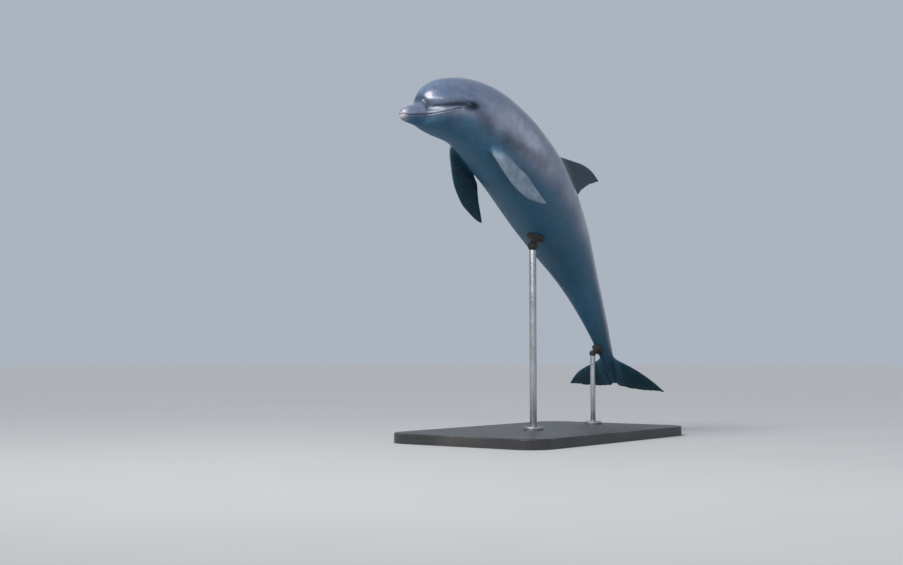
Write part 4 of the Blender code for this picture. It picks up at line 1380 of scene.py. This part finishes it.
def bevelled_cylinder(name, sides, radius, centre, height, bevel):
    deselect_all()
    bpy.ops.mesh.primitive_cylinder_add(vertices=sides, radius=radius, depth=height)
    cylinder = bpy.context.object
    cylinder.name = cylinder.data.name = name
    select_where(cylinder, "FACE", lambda face: abs(face.normal.z) > 0.9)
    bpy.ops.mesh.bevel(offset=bevel, segments=3)
    bpy.ops.mesh.select_all(action="SELECT")
    bpy.ops.transform.translate(value=centre)
    bpy.ops.object.mode_set(mode="OBJECT")
    bpy.ops.object.shade_smooth_by_angle(angle=math.radians(35))
    return cylinder


def replace_turned(node):
    """Puts a rounder cylinder in place of a solid, and returns its centre and its size."""
    low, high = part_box(node)
    centre, size = (low + high) / 2, high - low
    piece = bevelled_cylinder("visual_" + node, STEEL_SIDES, size.x / 2, centre, size.z, STEEL_BEVEL)
    piece.data.materials.append(steel)
    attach(piece, "root")
    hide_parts(node)
    return centre, size


def make_screw():
    """A socket screw that stands on the origin."""
    centre = (0, 0, SCREW_HEIGHT / 2)
    screw = bevelled_cylinder("screw", 32, SCREW_RADIUS, centre, SCREW_HEIGHT, 0.0006)
    socket_centre = (0, 0, SCREW_HEIGHT)
    cutter = bevelled_cylinder("socket", 6, SOCKET_RADIUS, socket_centre, 2 * SOCKET_DEPTH, 0.0001)
    apply_boolean(screw, "DIFFERENCE", cutter)
    return screw


def copy_to(original, name, place):
    """A copy of a piece with its own mesh, moved inside the mesh."""
    copy = original.copy()
    copy.data = original.data.copy()
    copy.name = copy.data.name = name
    bpy.context.scene.collection.objects.link(copy)
    copy.data.transform(Matrix.Translation(place))
    return copy


screw = make_screw()
screw.data.materials.clear()
screw.data.materials.append(steel)
for end in ("front", "rear"):
    rod_size = replace_turned("stand_rod_" + end)[1]
    centre, size = replace_turned("stand_collar_" + end)
    ring = (rod_size.x + size.x) / 4
    for number in range(SCREWS_PER_COLLAR):
        turn = math.tau * (number + 0.25) / SCREWS_PER_COLLAR
        place = Vector((centre.x + ring * math.cos(turn), centre.y + ring * math.sin(turn),
                        centre.z + size.z / 2 - 0.0002))
        copied = copy_to(screw, f"screw_{end}_{number + 1}", place)
        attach(copied, "root")
bpy.data.objects.remove(screw)
print("rods and collars turned,", 2 * SCREWS_PER_COLLAR, "screws")

# %% [markdown]
# The base keeps its solid, which has the shape that it should. A pad is turned too, but it is
# cut to the body's shape where it touches it. So its solid is copied and merged, and its
# shading is made round instead of its mesh.

# %% Finish the base and the pads
def smooth_copy(node):
    """A merged copy of a solid, with smooth shading over its shallow edges."""
    piece = copy_to(bpy.data.objects[node], "visual_" + node, Vector())
    select_only(piece)
    bpy.ops.object.mode_set(mode="EDIT")
    bpy.ops.mesh.select_all(action="SELECT")
    bpy.ops.mesh.remove_doubles(threshold=0.00001)
    bpy.ops.mesh.normals_make_consistent(inside=False)
    bpy.ops.object.mode_set(mode="OBJECT")
    bpy.ops.object.shade_smooth_by_angle(angle=math.radians(50))
    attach(piece, "root")
    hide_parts(node)
    return piece


base = bpy.data.objects["stand_base"]
base.data.materials.clear()
base.data.materials.append(base_material)
for end in ("front", "rear"):
    pad = smooth_copy("stand_pad_" + end)
    pad.data.materials.clear()
    pad.data.materials.append(rubber)
print("base painted, pads smoothed")

# %% [markdown]
# ## Floor, light and camera
# A plain pale floor and a soft light from above and from the side of the beak, as in a
# photographer's studio. The floor is large enough to reach the horizon in every view.

# %% Set the stage
FLOOR_RADIUS, FLOOR_DROP = 60, 0.0004       # the floor lies just under the base, in metres
FLOOR_DARK, FLOOR_LIGHT = (0.382, 0.387, 0.392, 1), (0.392, 0.397, 0.402, 1)
SKY_COLOUR, SKY_STRENGTH = (0.74, 0.83, 0.95, 1), 0.55
LIGHT_TARGET = Vector((-0.19, -0.01, 1.15))
CAMERA_PLACE, CAMERA_PITCH, CAMERA_HEADING = (-5.485, -3.552, 0.416), 3.446, -52.864
CAMERA_LENS, CAMERA_SENSOR = 50.0, 36.0

deselect_all()
bpy.ops.mesh.primitive_circle_add(vertices=96, radius=FLOOR_RADIUS, fill_type="NGON")
floor = bpy.context.object
floor.name = "floor"
bpy.ops.object.mode_set(mode="EDIT")
bpy.ops.mesh.select_all(action="SELECT")
bpy.ops.transform.translate(value=(0, 0, -FLOOR_DROP))
bpy.ops.object.mode_set(mode="OBJECT")
floor_material, tree, shader = new_material("pale floor", {"Specular IOR Level": 0.3})
floor_place = add_node(tree, "TexCoord", {}, "Object")
tone = use_effect(tree, CLOUDS, {"Vector": floor_place, "Scale": 0.7})["Value"]
feed(tree, shader["Base Color"], blend(tree, tone, FLOOR_DARK, FLOOR_LIGHT))
feed(tree, shader["Roughness"], spread_out(tree, tone, 0, 1, 0.62, 0.66))
floor.data.materials.append(floor_material)

world = bpy.data.worlds.new("studio")
world.use_nodes = True
sky = world.node_tree.nodes["Background"].inputs
sky["Color"].default_value = SKY_COLOUR
sky["Strength"].default_value = SKY_STRENGTH
bpy.context.scene.world = world


def add_light(name, kind, place, energy, colour, **settings):
    light = bpy.data.lights.new(name, kind)
    light.energy, light.color = energy, colour
    for label, value in settings.items():
        setattr(light, label, value)
    lamp = bpy.data.objects.new(name, light)
    bpy.context.scene.collection.objects.link(lamp)
    lamp.location = place
    lamp.rotation_euler = (LIGHT_TARGET - Vector(place)).to_track_quat("-Z", "Y").to_euler()


add_light("key", "SUN", (-4.0, 0.3, 4.7), 3.1, (1.0, 0.97, 0.93), angle=0.45)
add_light("softbox", "AREA", (-3.5, -0.8, 3.2), 105, (1.0, 0.98, 0.96), shape="RECTANGLE",
          size=3.8, size_y=1.5)
add_light("fill", "AREA", (-2.0, -5.0, 1.8), 10, (0.86, 0.92, 1.0), size=3.0)
bpy.context.scene.view_settings.view_transform = "Standard"

camera = bpy.data.objects.new("camera", bpy.data.cameras.new("camera"))
bpy.context.scene.collection.objects.link(camera)
camera.data.lens, camera.data.sensor_width = CAMERA_LENS, CAMERA_SENSOR
camera.data.clip_end = 3 * FLOOR_RADIUS
camera.location = CAMERA_PLACE
camera.rotation_euler = [math.radians(a) for a in (90 + CAMERA_PITCH, 0, CAMERA_HEADING)]
bpy.context.scene.camera = camera
print("stage set")
